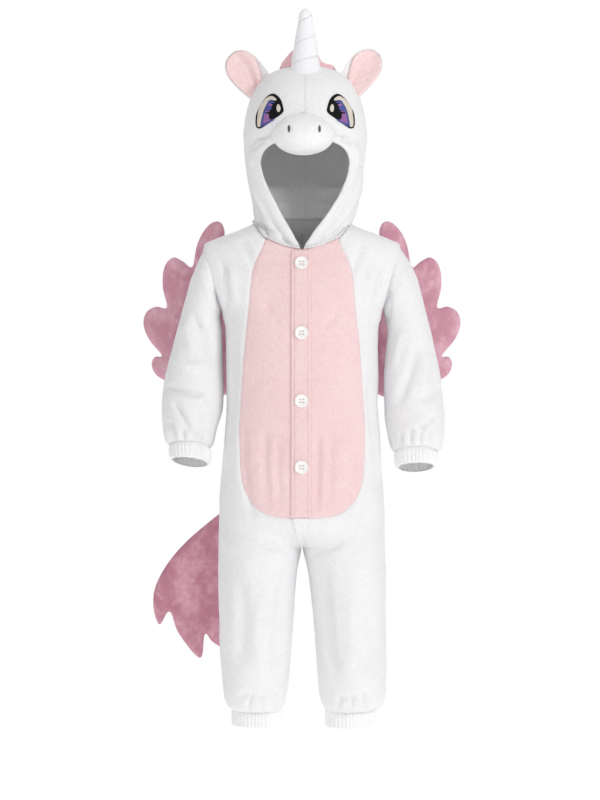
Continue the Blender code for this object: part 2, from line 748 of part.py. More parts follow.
def build_hood(home):
    turns = [-pi / 2 + 2 * pi * i / HOOD_COLUMNS for i in range(HOOD_COLUMNS + 1)]
    front = hood_cloth(turns, HOOD_PLACES)
    trim(front, lambda p: HOOD_BACK_SEAM - HALF_GAP - p.y)
    trim(front, lambda p: -face_field(p))
    thicken(front)
    place("hood_front", front, "white_fleece", home)
    for side in (-1, 1):
        back = hood_cloth(turns, HOOD_PLACES)
        trim(back, lambda p: p.y - HOOD_BACK_SEAM - HALF_GAP)
        trim(back, lambda p: side * (p.x - HOOD_CENTRE) - HALF_GAP)
        thicken(back)
        place("hood_back_" + mirror_name(side), back, "white_fleece", home)


def hood_block(cutters):
    """The hood's filled form, a seam's gap larger, that trimmings are fitted to."""
    turns = [-pi / 2 + 2 * pi * i / HOOD_COLUMNS for i in range(HOOD_COLUMNS + 1)]
    cloth = hood_cloth(turns, HOOD_PLACES, lift=SEAM_GAP, seam=False)
    bmesh.ops.holes_fill(cloth, edges=cloth.edges, sides=0)
    return as_cutter("hood_block", cloth, cutters)


def body_block(cutters):
    """The body's filled back, a seam's gap larger, that wings and tail are fitted to."""
    turns = [2 * pi * i / 32 for i in range(33)]
    rows = [z for z in BODY_ROWS if -0.53 <= z <= -0.001]

    def ring(turn, z):
        x, y = cos(turn), sin(turn)
        push = rounding(turn)
        width, depth = along(BODY_WIDTH, z) + SEAM_GAP * 1.3, depth_at(y, z) + SEAM_GAP * 1.3
        return Vector((width * x * push, depth * y * push, z))

    cloth = sheet(turns, rows, ring, ring)
    bmesh.ops.holes_fill(cloth, edges=cloth.edges, sides=0)
    return as_cutter("body_block", cloth, cutters)


def blob(u_segments, v_segments, warp):
    shape = bmesh.new()
    bmesh.ops.create_uvsphere(shape, u_segments=u_segments, v_segments=v_segments, radius=1.0)
    for vert in shape.verts:
        vert.co = warp(vert.co.copy())
    return shape


def build_muzzle(home, block):
    across, up = MUZZLE_PLACE
    wide, tall, deep = MUZZLE_SIZE

    def warp(p):
        pull = 1 - 0.10 * max(0.0, p.z)
        y = -0.082 + deep * p.y * (1.0 if p.y < 0 else 0.45) - 0.004 * (1 - p.z)
        return Vector((across + wide * p.x * pull, y, up + tall * p.z))

    muzzle = place("muzzle", blob(20, 12, warp), "muzzle_white", home)
    cut_off(muzzle, block)


def muzzle_clear(point):
    across, up = MUZZLE_PLACE
    wide, tall = MUZZLE_SIZE[0], MUZZLE_SIZE[1]
    far = hypot((point.x - across) / (wide + 0.002), (point.z - up) / (tall + 0.002))
    return (far - 1) * tall


def eye_field(side):
    def shape(point):
        x = side * (point.x - HOOD_CENTRE) - EYE_OFFSET
        z = point.z - EYE_HEIGHT
        lean = x * cos(EYE_LEAN) + z * sin(EYE_LEAN)
        rise = z * cos(EYE_LEAN) - x * sin(EYE_LEAN)
        egg = 1 - (abs(lean) / EYE_SIZE[0]) ** 2.2 - (abs(rise) / EYE_SIZE[1]) ** 2.2
        floor_line = (z + 0.0175 + x * 0.55) * 40
        return min(egg, floor_line) if point.y < 0.02 else -1.0

    edge = unit_field(shape)
    return lambda point: min(edge(point), muzzle_clear(point) - 0.001)


def build_eyes(home):
    for side in (-1, 1):
        centre = -pi / 2 + side * 0.66
        turns = [centre + (i - 8) * 0.055 for i in range(17)]
        places = [5.6 + 0.3 * i for i in range(12)]
        cloth = hood_cloth(turns, places, lift=SEAM_GAP + 0.0012, thickness=0.0012, seam=False)
        trim(cloth, eye_field(side))
        thicken(cloth)
        place("eye_" + mirror_name(side), cloth, "eye_black", home)


def horn_radius(share):
    taper = HORN_RADIUS + (0.0112 - HORN_RADIUS) * share
    return taper * sqrt(max(0.0, 1 - max(0.0, (share - 0.9) / 0.1) ** 2))


def build_horn(home, block):
    x, y, base = HORN_BASE
    turns = [2 * pi * i / 16 for i in range(17)]
    shares = [0.0, 0.001] + [i / 22 for i in range(1, 20)] + [0.90, 0.93, 0.965, 0.985, 1.0]

    def point(turn, share):
        z = base + (HORN_TIP - base) * share
        radius = 0.0 if share in (0.0, 1.0) else horn_radius(share)
        wind = turn / (2 * pi) - (z - 0.33) / HORN_TURN
        groove = abs(wind - round(wind)) * HORN_TURN
        radius *= 1 - 0.10 * max(0.0, 1 - groove / 0.006) * (1 if 0.02 < share < 0.97 else 0)
        return Vector((x + radius * cos(turn), y - 0.006 * share + radius * sin(turn), z))

    shape = sheet(turns, shares, point, point)
    horn = place("horn", shape, "horn_white", home)
    cut_off(horn, block)


def ear_surface(side, along_, across):
    """The ear's middle surface: along from root (0) to tip (1), across from the head's side (-1) to the outer edge (1)."""
    root_point = Vector((HOOD_CENTRE + side * 0.0640, 0.004, 0.2315))
    axis = Vector((side * 0.665, 0.06, 0.745)).normalized()
    wide = Vector((side * 0.745, 0.03, -0.665)).normalized()
    out = Vector((side * 0.12, -1.0, 0.0)).normalized()
    half = 0.0265 * (0.76 + 0.24 * sin(pi * min(along_, 0.58) / 1.16))
    half *= sqrt(max(0.0, 1 - max(0.0, (along_ - 0.6) / 0.4) ** 2))
    cup = 0.010 * (across * across) - 0.004
    return root_point + axis * 0.083 * along_ + wide * (half * across) + out * (cup * min(1.0, half / 0.02))


def build_ears(home, block):
    for side in (-1, 1):
        hand = mirror_name(side)
        places = [0.0, 0.17, 0.34, 0.5, 0.62, 0.74, 0.84, 0.92, 0.97, 1.0]

        def at(across, along_, depth):
            low = min(along_, 0.985)
            near = 0.98 * across
            forward = Vector((side * 0.1, -1, 0))
            normal = normal_of(lambda u, v: ear_surface(side, v, u), near, low, lambda p: forward)
            return ear_surface(side, along_, across) + normal * depth

        full = [-1, -0.66, -0.33, 0, 0.33, 0.66, 1]
        outer = sheet(full, places, lambda u, v: at(u, v, -HALF_GAP), lambda u, v: at(u, v, -HALF_GAP - 0.004))
        thicken(outer)
        cut_off(place("ear_" + hand, outer, "white_fleece", home), block)
        lined = [-0.33, 0, 0.33, 0.66, 0.94]
        front, back = HALF_GAP + 0.0025, HALF_GAP
        inner = sheet(lined, places[:-1], lambda u, v: at(u, v, front), lambda u, v: at(u, v, back))
        thicken(inner)
        cut_off(place("ear_lining_" + hand, inner, "ear_pink", home), block)


def build_mane(home, block):
    """One tufted crest, from behind the horn, over the crown and down the back of the hood."""
    behind = (11.6, 11.0, 10.4, 9.8, 9.1, 8.4, 7.6, 6.8, 6.0, 5.2, 4.4, 3.6, 3.0)
    stations = [(-pi / 2, 11.3), (-pi / 2, 11.75)] + [(pi / 2, place_) for place_ in behind]
    last = len(stations) - 1
    turns = [2 * pi * i / 14 for i in range(15)]

    def point(turn, place_):
        low = min(int(place_), last - 1)
        share = place_ - low
        ends = [hood_form(*stations[i]) for i in (low, low + 1)]
        middle = ends[0].lerp(ends[1], share)
        out = (middle - Vector((HOOD_CENTRE, 0.01, 0.16))).normalized()
        out.x = 0.0
        tuft = 0.80 + 0.20 * abs(cos(pi * place_ / 2))
        start, end = min(1.0, place_ / 0.8), min(1.0, last - place_)
        close = sqrt(max(0.0, start * (2 - start))) * sqrt(max(0.0, end * (2 - end)))
        wide = (0.017 + 0.026 * (1 - ease((place_ - 0.6) / 4.5))) * tuft * close
        tall = (0.014 + 0.005 * (1 - ease(place_ / 4))) * tuft * close
        middle.x = HOOD_CENTRE + 0.004 * (1 - ease(place_ / 3))
        return middle + out * (0.002 + tall * sin(turn)) + Vector((wide * cos(turn), 0, 0))

    places = [i * 0.5 for i in range(2 * last + 1)]
    shape = sheet(turns, places, point, point)
    cut_off(place("mane", shape, "mane_pink", home), block)


# ---- wings and tail ----

def padded_outline(name, outline, thick, warp, slot, home):
    """A stuffed piece: its outline filled, thickened and rounded all round."""
    curve = bpy.data.curves.new(name + "_outline", "CURVE")
    curve.dimensions = "2D"
    curve.fill_mode = "BOTH"
    curve.resolution_u = 2
    curve.extrude = 0.0005
    curve.bevel_depth = thick / 2 - 0.0005
    curve.bevel_resolution = 1
    curve.offset = -(thick / 2 - 0.0005)
    line = curve.splines.new("BEZIER")
    line.bezier_points.add(len(outline) - 1)
    line.use_cyclic_u = True
    for bezier, (x, z) in zip(line.bezier_points, outline):
        bezier.co = (x, z, 0.0)
        bezier.handle_left_type = bezier.handle_right_type = "AUTO"
    source = bpy.data.objects.new(name + "_outline", curve)
    home.objects.link(source)
    bpy.context.view_layer.update()
    data = bpy.data.meshes.new_from_object(source.evaluated_get(bpy.context.evaluated_depsgraph_get()))
    bpy.data.objects.remove(source)
    shape = bmesh.new()
    shape.from_mesh(data)
    bpy.data.meshes.remove(data)
    bmesh.ops.remove_doubles(shape, verts=shape.verts, dist=1e-6)
    for vert in shape.verts:
        vert.co = warp(vert.co.x, vert.co.z, vert.co.y)
    return place(name, shape, slot, home)


def build_wings(home, block):
    for side in (-1, 1):
        outline = [(side * x, z) for x, z in WING]

        def warp(x, y, z):
            return Vector((x, y + WING_ROOT + WING_SWEEP * (abs(x) - 0.03), z))

        cut_off(padded_outline("wing_" + mirror_name(side), outline, WING_THICK, warp, "wing_rose", home), block)


def build_tail(home, block):
    def warp(x, y, z):
        return Vector((x, y + TAIL_DEPTH + 0.05 * ease((-0.40 - z) / 0.25), z))

    cut_off(padded_outline("tail", TAIL, TAIL_THICK, warp, "tail_rose", home), block)


def clear_scene():
    for obj in list(bpy.data.objects):
        bpy.data.objects.remove(obj, do_unlink=True)


def build():
    clear_scene()
    home, cutters = collection("unicorn_onesie"), collection("cutters", shown=False)
    block, back = hood_block(cutters), body_block(cutters)
    build_body(home)
    build_band(home)
    build_buttons(home)
    build_sleeves(home)
    build_leg_cuffs(home)
    build_hood(home)
    build_muzzle(home, block)
    build_eyes(home)
    build_horn(home, block)
    build_ears(home, block)
    build_mane(home, block)
    build_wings(home, back)
    build_tail(home, back)


build()
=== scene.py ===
"""A child's unicorn onesie in fleece, hanging as worn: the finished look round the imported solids."""

import bmesh
import bpy
import numpy as np
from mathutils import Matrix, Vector
from mathutils.bvhtree import BVHTree


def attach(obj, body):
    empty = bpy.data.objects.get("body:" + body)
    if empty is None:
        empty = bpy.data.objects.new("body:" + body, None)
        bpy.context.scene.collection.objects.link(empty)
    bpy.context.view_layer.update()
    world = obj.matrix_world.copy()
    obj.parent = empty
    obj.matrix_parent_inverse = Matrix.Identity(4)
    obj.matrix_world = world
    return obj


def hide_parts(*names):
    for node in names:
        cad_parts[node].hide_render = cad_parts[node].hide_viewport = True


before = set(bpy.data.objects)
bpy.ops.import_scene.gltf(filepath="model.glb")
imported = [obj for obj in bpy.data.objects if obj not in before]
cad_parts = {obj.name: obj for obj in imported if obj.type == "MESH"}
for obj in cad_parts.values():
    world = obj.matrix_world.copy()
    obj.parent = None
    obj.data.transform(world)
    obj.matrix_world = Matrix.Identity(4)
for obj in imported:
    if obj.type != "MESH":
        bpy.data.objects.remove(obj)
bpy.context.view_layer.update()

# Sizes in metres. X is across the wearer, Z up, the front faces -Y.
CLOTH = 0.0022
WELD = 1e-6
PI = np.pi


# ---- smooth lines and small helpers ----

class Line:
    """A smooth line through stations, which never overshoots them."""

    def __init__(self, stations):
        self.x, self.y = np.array(stations, float).T
        rise = np.diff(self.y) / np.diff(self.x)
        slope = np.empty(len(self.x))
        slope[0], slope[-1] = rise[0], rise[-1]
        before, after = rise[:-1], rise[1:]
        total = np.where(before + after == 0, 1.0, before + after)
        slope[1:-1] = np.where(before * after <= 0, 0.0, 2 * before * after / total)
        self.slope = slope

    def __call__(self, at):
        at = np.clip(np.asarray(at, float), self.x[0], self.x[-1])
        i = np.clip(np.searchsorted(self.x, at, "right") - 1, 0, len(self.x) - 2)
        step = self.x[i + 1] - self.x[i]
        t = (at - self.x[i]) / step
        lift = (t - 2 * t**2 + t**3) * step * self.slope[i] + (t**3 - t**2) * step * self.slope[i + 1]
        return self.y[i] + (self.y[i + 1] - self.y[i]) * (3 * t**2 - 2 * t**3) + lift


def ease(t):
    t = np.clip(t, 0.0, 1.0)
    return t * t * (3 - 2 * t)


def bump(distance, width):
    return np.exp(-((distance / width) ** 2))


def rounding(angle, power):
    return (np.abs(np.cos(angle)) ** power + np.abs(np.sin(angle)) ** power) ** (-1 / power)


def root(function, low, high, turns=30):
    """Where each of many functions that start negative turns positive."""
    for _ in range(turns):
        middle = (low + high) / 2
        under = function(middle) < 0
        low, high = np.where(under, middle, low), np.where(under, high, middle)
    return (low + high) / 2


def stack(*parts):
    return np.stack(np.broadcast_arrays(*parts), axis=-1)


def cloud(points, size, seed):
    """Soft random height, -1 to 1, over lumps of about this size."""
    lattice = np.random.default_rng(seed).uniform(-1, 1, (24, 24, 24))
    place = points / size
    low = np.floor(place).astype(int)
    t = ease(place - low)
    total = 0.0
    for dx in (0, 1):
        for dy in (0, 1):
            for dz in (0, 1):
                share = np.abs(1 - dx - t[:, 0]) * np.abs(1 - dy - t[:, 1]) * np.abs(1 - dz - t[:, 2])
                cell = (low + (dx, dy, dz)) % 24
                total = total + share * lattice[tuple(cell.T)]
    return total


def smooth_loop(corners, steps=8, closed=True):
    """A smooth line through the corners."""
    corners = np.array(corners, float)
    count = len(corners)
    ends = range(count if closed else count - 1)
    line = []
    for i in ends:
        if closed:
            a, b, c, d = (corners[(i + j) % count] for j in (-1, 0, 1, 2))
        else:
            a, b, c, d = (corners[min(max(i + j, 0), count - 1)] for j in (-1, 0, 1, 2))
        for t in np.arange(steps) / steps:
            bend, twist = 2 * a - 5 * b + 4 * c - d, 3 * b - a - 3 * c + d
            line.append(0.5 * (2 * b + (c - a) * t + bend * t**2 + twist * t**3))
    if not closed:
        line.append(corners[-1])
    return np.array(line)


def line_distance(x, z, line, closed=False):
    """How far each point is from a line, and how far along it the nearest place is."""
    ends = np.roll(line, -1, axis=0) if closed else line[1:]
    starts = line if closed else line[:-1]
    best, place = np.full(len(x), 1e9), np.zeros(len(x))
    for i, (a, b) in enumerate(zip(starts, ends)):
        way = b - a
        t = np.clip(((x - a[0]) * way[0] + (z - a[1]) * way[1]) / max(way @ way, 1e-12), 0, 1)
        far = np.hypot(x - a[0] - t * way[0], z - a[1] - t * way[1])
        near = far < best
        best, place = np.where(near, far, best), np.where(near, i + t, place)
    return best, place / len(starts)


def inside_distance(x, z, loop):
    """Metres inside a closed outline, and below zero outside it."""
    far, _ = line_distance(x, z, loop, closed=True)
    inside = np.zeros(len(x), bool)
    for a, b in zip(loop, np.roll(loop, -1, axis=0)):
        crosses = (a[1] > z) != (b[1] > z)
        rise = b[1] - a[1] if b[1] != a[1] else 1e-12
        inside ^= crosses & (x < a[0] + (z - a[1]) / rise * (b[0] - a[0]))
    return np.where(inside, far, -far)


# ---- sizes of the forms, the same as the solids' ----

BODY_WIDTH = Line([
    (-0.51, 0.133), (-0.42, 0.1316), (-0.387, 0.129), (-0.314, 0.1245), (-0.25, 0.1212), (-0.19, 0.1215),
    (-0.14, 0.1225), (-0.118, 0.125), (-0.107, 0.130), (-0.09, 0.139), (-0.075, 0.148), (-0.05, 0.157),
    (-0.03, 0.160), (-0.015, 0.156), (-0.004, 0.141), (0.005, 0.120), (0.012, 0.101), (0.022, 0.079),
    (0.035, 0.071), (0.07, 0.068),
])
FRONT_DEPTH = Line([
    (-0.76, 0.040), (-0.745, 0.052), (-0.72, 0.060), (-0.68, 0.066), (-0.62, 0.072), (-0.54, 0.082),
    (-0.50, 0.090), (-0.45, 0.096), (-0.38, 0.099), (-0.30, 0.097), (-0.20, 0.092), (-0.12, 0.087),
    (-0.07, 0.081), (-0.03, 0.073), (0.0, 0.066), (0.02, 0.060), (0.07, 0.052),
])
BACK_DEPTH = Line([
    (-0.76, 0.040), (-0.745, 0.052), (-0.72, 0.060), (-0.68, 0.066), (-0.62, 0.074), (-0.54, 0.086),
    (-0.50, 0.096), (-0.43, 0.105), (-0.38, 0.103), (-0.30, 0.090), (-0.20, 0.083), (-0.12, 0.084),
    (-0.08, 0.078), (-0.03, 0.068), (0.0, 0.060), (0.02, 0.053), (0.07, 0.044),
])
LEG_OUTER = {
    -1: Line([
        (-0.757, 0.113), (-0.745, 0.1205), (-0.73, 0.125), (-0.688, 0.129), (-0.64, 0.132), (-0.54, 0.133),
        (-0.44, 0.133),
    ]),
    1: Line([
        (-0.757, 0.119), (-0.745, 0.129), (-0.73, 0.133), (-0.69, 0.135), (-0.64, 0.1352), (-0.54, 0.1335),
        (-0.44, 0.133),
    ]),
}
LEG_INNER = {
    -1: Line([
        (-0.757, 0.031), (-0.74, 0.027), (-0.713, 0.0225), (-0.664, 0.0176), (-0.615, 0.0138),
        (-0.5416, 0.0085), (-0.495, 0.0015),
    ]),
    1: Line([
        (-0.757, 0.036), (-0.74, 0.0305), (-0.713, 0.0262), (-0.651, 0.0215), (-0.59, 0.0157),
        (-0.537, 0.0096), (-0.495, 0.0015),
    ]),
}
SQUARE = 2.3
CROTCH, CROTCH_HEIGHT, ANKLE, BODY_TOP = -0.495, 0.055, -0.757, 0.058
NECK_FRONT = Line([
    (0.0, -0.0235), (0.012, -0.0215), (0.03, -0.017), (0.045, -0.0110), (0.059, -0.0040), (0.069, 0.008),
    (0.077, 0.022), (0.10, 0.055),
])
NECK_BACK = 0.034
ARM_TOP, ARM_BOTTOM = (0.153, -0.018), (0.1285, -0.112)
BELLY_WIDTH = Line([
    (-0.46, 0.098), (-0.36, 0.0985), (-0.31, 0.0995), (-0.23, 0.0955), (-0.10, 0.083), (-0.055, 0.078),
    (-0.015, 0.061), (0.02, 0.05),
])
BELLY_ROUND, BELLY_END = -0.335, -0.444
SLEEVES = {
    -1: [
        (0.153, -0.018, 0.1285, -0.112, 0.060, 0.000, 0.00),
        (0.1655, -0.036, 0.1300, -0.1185, 0.053, 0.001, 0.00),
        (0.1790, -0.070, 0.1310, -0.128, 0.048, 0.003, 0.00),
        (0.1950, -0.1277, 0.1285, -0.150, 0.045, 0.004, 0.00),
        (0.2125, -0.1930, 0.1268, -0.196, 0.047, 0.003, 0.04),
        (0.2208, -0.2304, 0.1255, -0.236, 0.050, 0.000, 0.10),
        (0.2235, -0.2690, 0.1270, -0.270, 0.050, -0.006, 0.18),
        (0.2215, -0.3080, 0.1365, -0.306, 0.045, -0.014, 0.24),
        (0.2150, -0.3320, 0.1435, -0.337, 0.037, -0.020, 0.28),
    ],
    1: [
        (0.153, -0.018, 0.1285, -0.112, 0.060, 0.000, 0.00),
        (0.1700, -0.034, 0.1300, -0.1185, 0.053, 0.001, 0.00),
        (0.1830, -0.060, 0.1330, -0.130, 0.048, 0.003, 0.00),
        (0.1960, -0.1100, 0.1370, -0.150, 0.045, 0.004, 0.00),
        (0.2130, -0.1750, 0.1335, -0.190, 0.047, 0.003, 0.04),
        (0.2225, -0.2350, 0.1305, -0.238, 0.050, 0.000, 0.10),
        (0.2280, -0.2858, 0.1315, -0.281, 0.050, -0.006, 0.18),
        (0.2262, -0.3216, 0.1365, -0.317, 0.045, -0.014, 0.24),
        (0.2190, -0.3430, 0.1440, -0.343, 0.037, -0.020, 0.28),
    ],
}
SLEEVE_CUFFS = {
    -1: [
        (0.2120, -0.3335, 0.1445, -0.3395, 0.0330, -0.0203, 0.28),
        (0.2105, -0.3440, 0.1455, -0.3500, 0.0325, -0.0230, 0.28),
        (0.2090, -0.3545, 0.1470, -0.3610, 0.0330, -0.0260, 0.28),
    ],
    1: [
        (0.2165, -0.3445, 0.1460, -0.3455, 0.0330, -0.0203, 0.28),
        (0.2145, -0.3550, 0.1480, -0.3560, 0.0325, -0.0230, 0.28),
        (0.2120, -0.3655, 0.1500, -0.3665, 0.0330, -0.0260, 0.28),
    ],
}
LEG_CUFFS = {-1: (-0.0720, 0.0395, -0.7580, -0.7790), 1: (0.0780, 0.0405, -0.7580, -0.7810)}
LEG_CUFF_DEPTH = 0.036
HOOD_ROWS = np.array([
    (0.022, 0.68, 0.078, 0.064, 0.050, 0.0), (0.040, 0.56, 0.083, 0.071, 0.068, 0.0),
    (0.060, 0.43, 0.0865, 0.080, 0.086, 0.0), (0.092, 0.24, 0.0925, 0.091, 0.101, 0.002),
    (0.122, 0.11, 0.0960, 0.098, 0.108, 0.004), (0.153, 0.04, 0.0975, 0.102, 0.112, 0.006),
    (0.182, 0.0, 0.0970, 0.102, 0.112, 0.007), (0.208, 0.0, 0.0930, 0.098, 0.108, 0.008),
    (0.232, 0.0, 0.0840, 0.088, 0.098, 0.009), (0.2535, 0.0, 0.0690, 0.071, 0.081, 0.010),
    (0.267, 0.0, 0.0490, 0.050, 0.058, 0.010), (0.2735, 0.0, 0.0260, 0.027, 0.031, 0.010),
    (0.2755, 0.0, 0.0, 0.0, 0.0, 0.010),
])
HOOD_TOP = len(HOOD_ROWS) - 1
HOOD_LINES = [Line(list(enumerate(HOOD_ROWS[:, i]))) for i in range(6)]
HOOD_CENTRE, HOOD_BACK_SEAM = 0.005, 0.018
HEAD_MIDDLE = np.array([HOOD_CENTRE, 0.01, 0.16])
FACE = Line([
    (-0.030, 0.003), (-0.018, 0.004), (-0.006, 0.011), (0.004, 0.017), (0.028, 0.034), (0.050, 0.047),
    (0.073, 0.059), (0.098, 0.0685), (0.112, 0.0712),
])
FACE_WIDEST, FACE_ARCH, HEM_STITCHES = 0.112, (0.0712, 0.036, 2.6), 0.0150
MUZZLE_PLACE, MUZZLE_SIZE = (0.002, 0.1555), (0.049, 0.0335, 0.047)
MUZZLE_BACK, MUZZLE_DROOP, MUZZLE_TAPER = -0.082, 0.004, 0.10
NOSTRILS, NOSTRIL_HEIGHT, NOSTRIL_SIZE = (-0.0206, 0.0273), 0.1600, (0.00215, 0.0060)
EYE_OFFSET, EYE_HEIGHT = 0.0562, 0.1864
HORN_BASE, HORN_TIP, HORN_RADIUS, HORN_TURN = (0.0055, -0.034, 0.250), 0.360, 0.0262, 0.0325
HORN_END, HORN_START, HORN_LEAN = 0.0082, 0.3195, 0.006
EAR_LENGTH = 0.083
EAR_AXIS, EAR_HALF = {-1: (0.655, 0.06, 0.755), 1: (0.60, 0.06, 0.80)}, {-1: 0.0262, 1: 0.0243}
BUTTON_HEIGHTS = (-0.0455, -0.1547, -0.2608, -0.3637)
BAND_STITCHES = 0.0052, 0.0045
BUTTON_HOLE, HOLE_OFFSET = 0.0011, 0.0022
BUTTON_PROFILE = [
    (0.0088, 0.0), (0.0100, 0.0005), (0.0105, 0.0014), (0.0102, 0.0024), (0.0094, 0.0029), (0.0084, 0.0027),
    (0.0074, 0.0020), (0.0060, 0.0017),
]
BAND_LEFT, BAND_RIGHT, BAND_END, BAND_TAIL_END = -0.0172, 0.0135, -0.4425, -0.489
WING = [
    (0.030, -0.022), (0.060, -0.010), (0.095, -0.006), (0.116, -0.004), (0.1265, 0.006), (0.1275, 0.020),
    (0.132, 0.031), (0.140, 0.035), (0.152, 0.030), (0.165, 0.014), (0.174, -0.008), (0.181, -0.040),
    (0.197, -0.030), (0.213, -0.024), (0.227, -0.040), (0.230, -0.072), (0.223, -0.106), (0.241, -0.105),
    (0.257, -0.114), (0.262, -0.134), (0.252, -0.160), (0.231, -0.186), (0.243, -0.188), (0.248, -0.202),
    (0.238, -0.220), (0.205, -0.235), (0.192, -0.228), (0.186, -0.245), (0.160, -0.256), (0.130, -0.252),
    (0.095, -0.232), (0.060, -0.205), (0.030, -0.182), (0.025, -0.125), (0.025, -0.055),
]
WING_ROOT, WING_SWEEP = 0.089, 0.145
TAIL = [
    (-0.012, -0.372), (-0.045, -0.385), (-0.095, -0.418), (-0.150, -0.458), (-0.205, -0.508),
    (-0.240, -0.560), (-0.248, -0.600), (-0.238, -0.634), (-0.221, -0.612), (-0.205, -0.650),
    (-0.170, -0.690), (-0.162, -0.650), (-0.148, -0.664), (-0.120, -0.676), (-0.112, -0.636),
    (-0.096, -0.646), (-0.066, -0.628), (-0.052, -0.580), (-0.046, -0.520), (-0.030, -0.450),
    (-0.010, -0.410),
]
TAIL_DEPTH = 0.109


# ---- the forms ----

def depth_at(sign, z):
    return np.where(sign < 0, FRONT_DEPTH(z), BACK_DEPTH(z))


def body_field(p):
    x, y, z = p[..., 0], p[..., 1], p[..., 2]
    return (np.abs(x) / BODY_WIDTH(z)) ** SQUARE + (np.abs(y) / depth_at(y, z)) ** SQUARE - 1


def body_form(side):
    """One half of the body: turn runs from centre front (-pi), by the side (0), to centre back (pi)."""
    def form(turn, z):
        half = turn / 2
        push = rounding(half, SQUARE)
        depth = depth_at(turn, z)
        x, y = BODY_WIDTH(z) * np.cos(half) * push, depth * np.sin(half) * push
        rise = np.clip((z - CROTCH) / CROTCH_HEIGHT, 0, 1)
        inseam = np.abs(np.sin(half)) ** 6
        share = inseam * (1 - np.sqrt(np.clip(1 - (1 - rise) ** 2, 0, 1))) + (1 - inseam) * ease(1 - rise)
        outer, inner = LEG_OUTER[side](z), LEG_INNER[side](z)
        push = rounding(turn, 2.15)
        leg_x = (outer + inner) / 2 + (outer - inner) / 2 * np.cos(turn) * push
        leg_y = depth * np.sin(turn) * push * (0.9 + 0.1 * ease((CROTCH - z) / 0.12))
        x, y = x + (leg_x - x) * share, y + (leg_y - y) * share
        return stack(side * np.maximum(x, 0.0), y, z)

    return form


def body_outward(side):
    def outward(p):
        middle = np.where(p[:, 2] < CROTCH, side * 0.072, 0.0)
        return stack(p[:, 0] - middle, p[:, 1], np.zeros(len(p)))

    return outward


def neck_gap(p):
    share = ease((p[..., 1] + 0.012) / 0.03)
    front = NECK_FRONT(np.abs(p[..., 0]))
    return p[..., 2] - front - (NECK_BACK - front) * share


def armhole_ring(side, turn):
    centre = np.array([side * (ARM_TOP[0] + ARM_BOTTOM[0]) / 2, 0.0, (ARM_TOP[1] + ARM_BOTTOM[1]) / 2])
    half = np.array([side * (ARM_TOP[0] - ARM_BOTTOM[0]) / 2, 0.0, (ARM_TOP[1] - ARM_BOTTOM[1]) / 2])
    way = half * np.cos(turn)[:, None] + stack(0.0, 0.06 * np.sin(turn), 0.0)
    near, far = np.full(len(turn), 0.05), np.full(len(turn), 1.8)
    reach = root(lambda r: body_field(centre + way * r[:, None]), near, far)
    return centre + way * reach[:, None]


def sleeve_form(table, side, rooted):
    lines = [Line([(i, row[k]) for i, row in enumerate(table[side])]) for k in range(7)]
    seam = ring_table(lambda turn: armhole_ring(side, turn))

    def form(turn, place):
        ox, oz, ix, iz, depth, middle, tilt = (line(place) for line in lines)
        back = depth * np.sin(turn)
        x = (ox + ix) / 2 + (ox - ix) / 2 * np.cos(turn)
        z = (oz + iz) / 2 + (oz - iz) / 2 * np.cos(turn) - back * np.sin(tilt)
        point = stack(side * x, middle + back * np.cos(tilt), z)
        if rooted:
            share = (1 - ease(place / 1.6))[:, None]
            point = point + (seam(turn) - point) * share
        return point

    def outward(p):
        mids = [((ox + ix) / 2 * side, middle, (oz + iz) / 2) for ox, oz, ix, iz, _, middle, _ in table[side]]
        mids = np.array(mids)
        near = np.abs(p[:, 2:3] - mids[None, :, 2]).argmin(axis=1)
        return p - mids[near]

    return form, outward


def neck_ring(turn):
    push = rounding(turn, SQUARE)

    def ring(z):
        return stack(BODY_WIDTH(z) * np.cos(turn) * push, depth_at(np.sin(turn), z) * np.sin(turn) * push, z)

    return ring(root(lambda z: neck_gap(ring(z)), np.full(len(turn), -0.035), np.full(len(turn), 0.05)))


def ring_table(ring):
    """A closed ring, kept as points at even turns and read between them."""
    turns = np.linspace(-PI, PI, 1441)
    points = ring(turns)

    def at(turn):
        turn = (np.asarray(turn) + PI) % (2 * PI) - PI
        return stack(*(np.interp(turn, turns, points[:, i]) for i in range(3)))

    return at


neck_point = ring_table(neck_ring)


def hood_form(turn, place):
    """The hood: turn 0 is the wearer's left, -pi/2 the front; place counts sections up from the neck."""
    height, slope, width, front, behind, middle = (line(place) for line in HOOD_LINES)
    push = rounding(turn, 2.12)
    y = np.where(np.sin(turn) < 0, front, behind) * np.sin(turn) * push
    point = stack(HOOD_CENTRE + width * np.cos(turn) * push, middle + y, height + slope * y)
    share = ease(place / 1.7)[:, None]
    return neck_point(turn) * (1 - share) + point * share


def hood_outward(p):
    return p - np.array([HOOD_CENTRE, 0.01, 0.15])


def hood_front_depth(x, z):
    """How far forward the hood's front lies, at places seen straight on."""
    heights, slopes, rows = HOOD_ROWS[:, 0], HOOD_ROWS[:, 1], np.arange(HOOD_TOP + 1)
    place, y = np.interp(z, heights, rows), 0.0
    for _ in range(3):
        place = np.interp(z - np.interp(place, rows, slopes) * y, heights, rows)
        low, high = np.zeros(len(x)), np.full(len(x), PI)
        turn = -PI + root(lambda t: hood_form(-PI + t, place)[:, 0] - x, low, high, 22)
        y = hood_form(turn, place)[:, 1]
    return y


# ---- fields: metres from a seam, above zero on the kept side ----

def unit(shape):
    def field(p):
        step, value = 1e-4, shape(p)
        slope = [(shape(p + step * axis) - shape(p - step * axis)) / (2 * step) for axis in np.eye(3)]
        return value / np.maximum(np.sqrt(sum(s * s for s in slope)), 1e-6)

    return field


neck_field = unit(neck_gap)


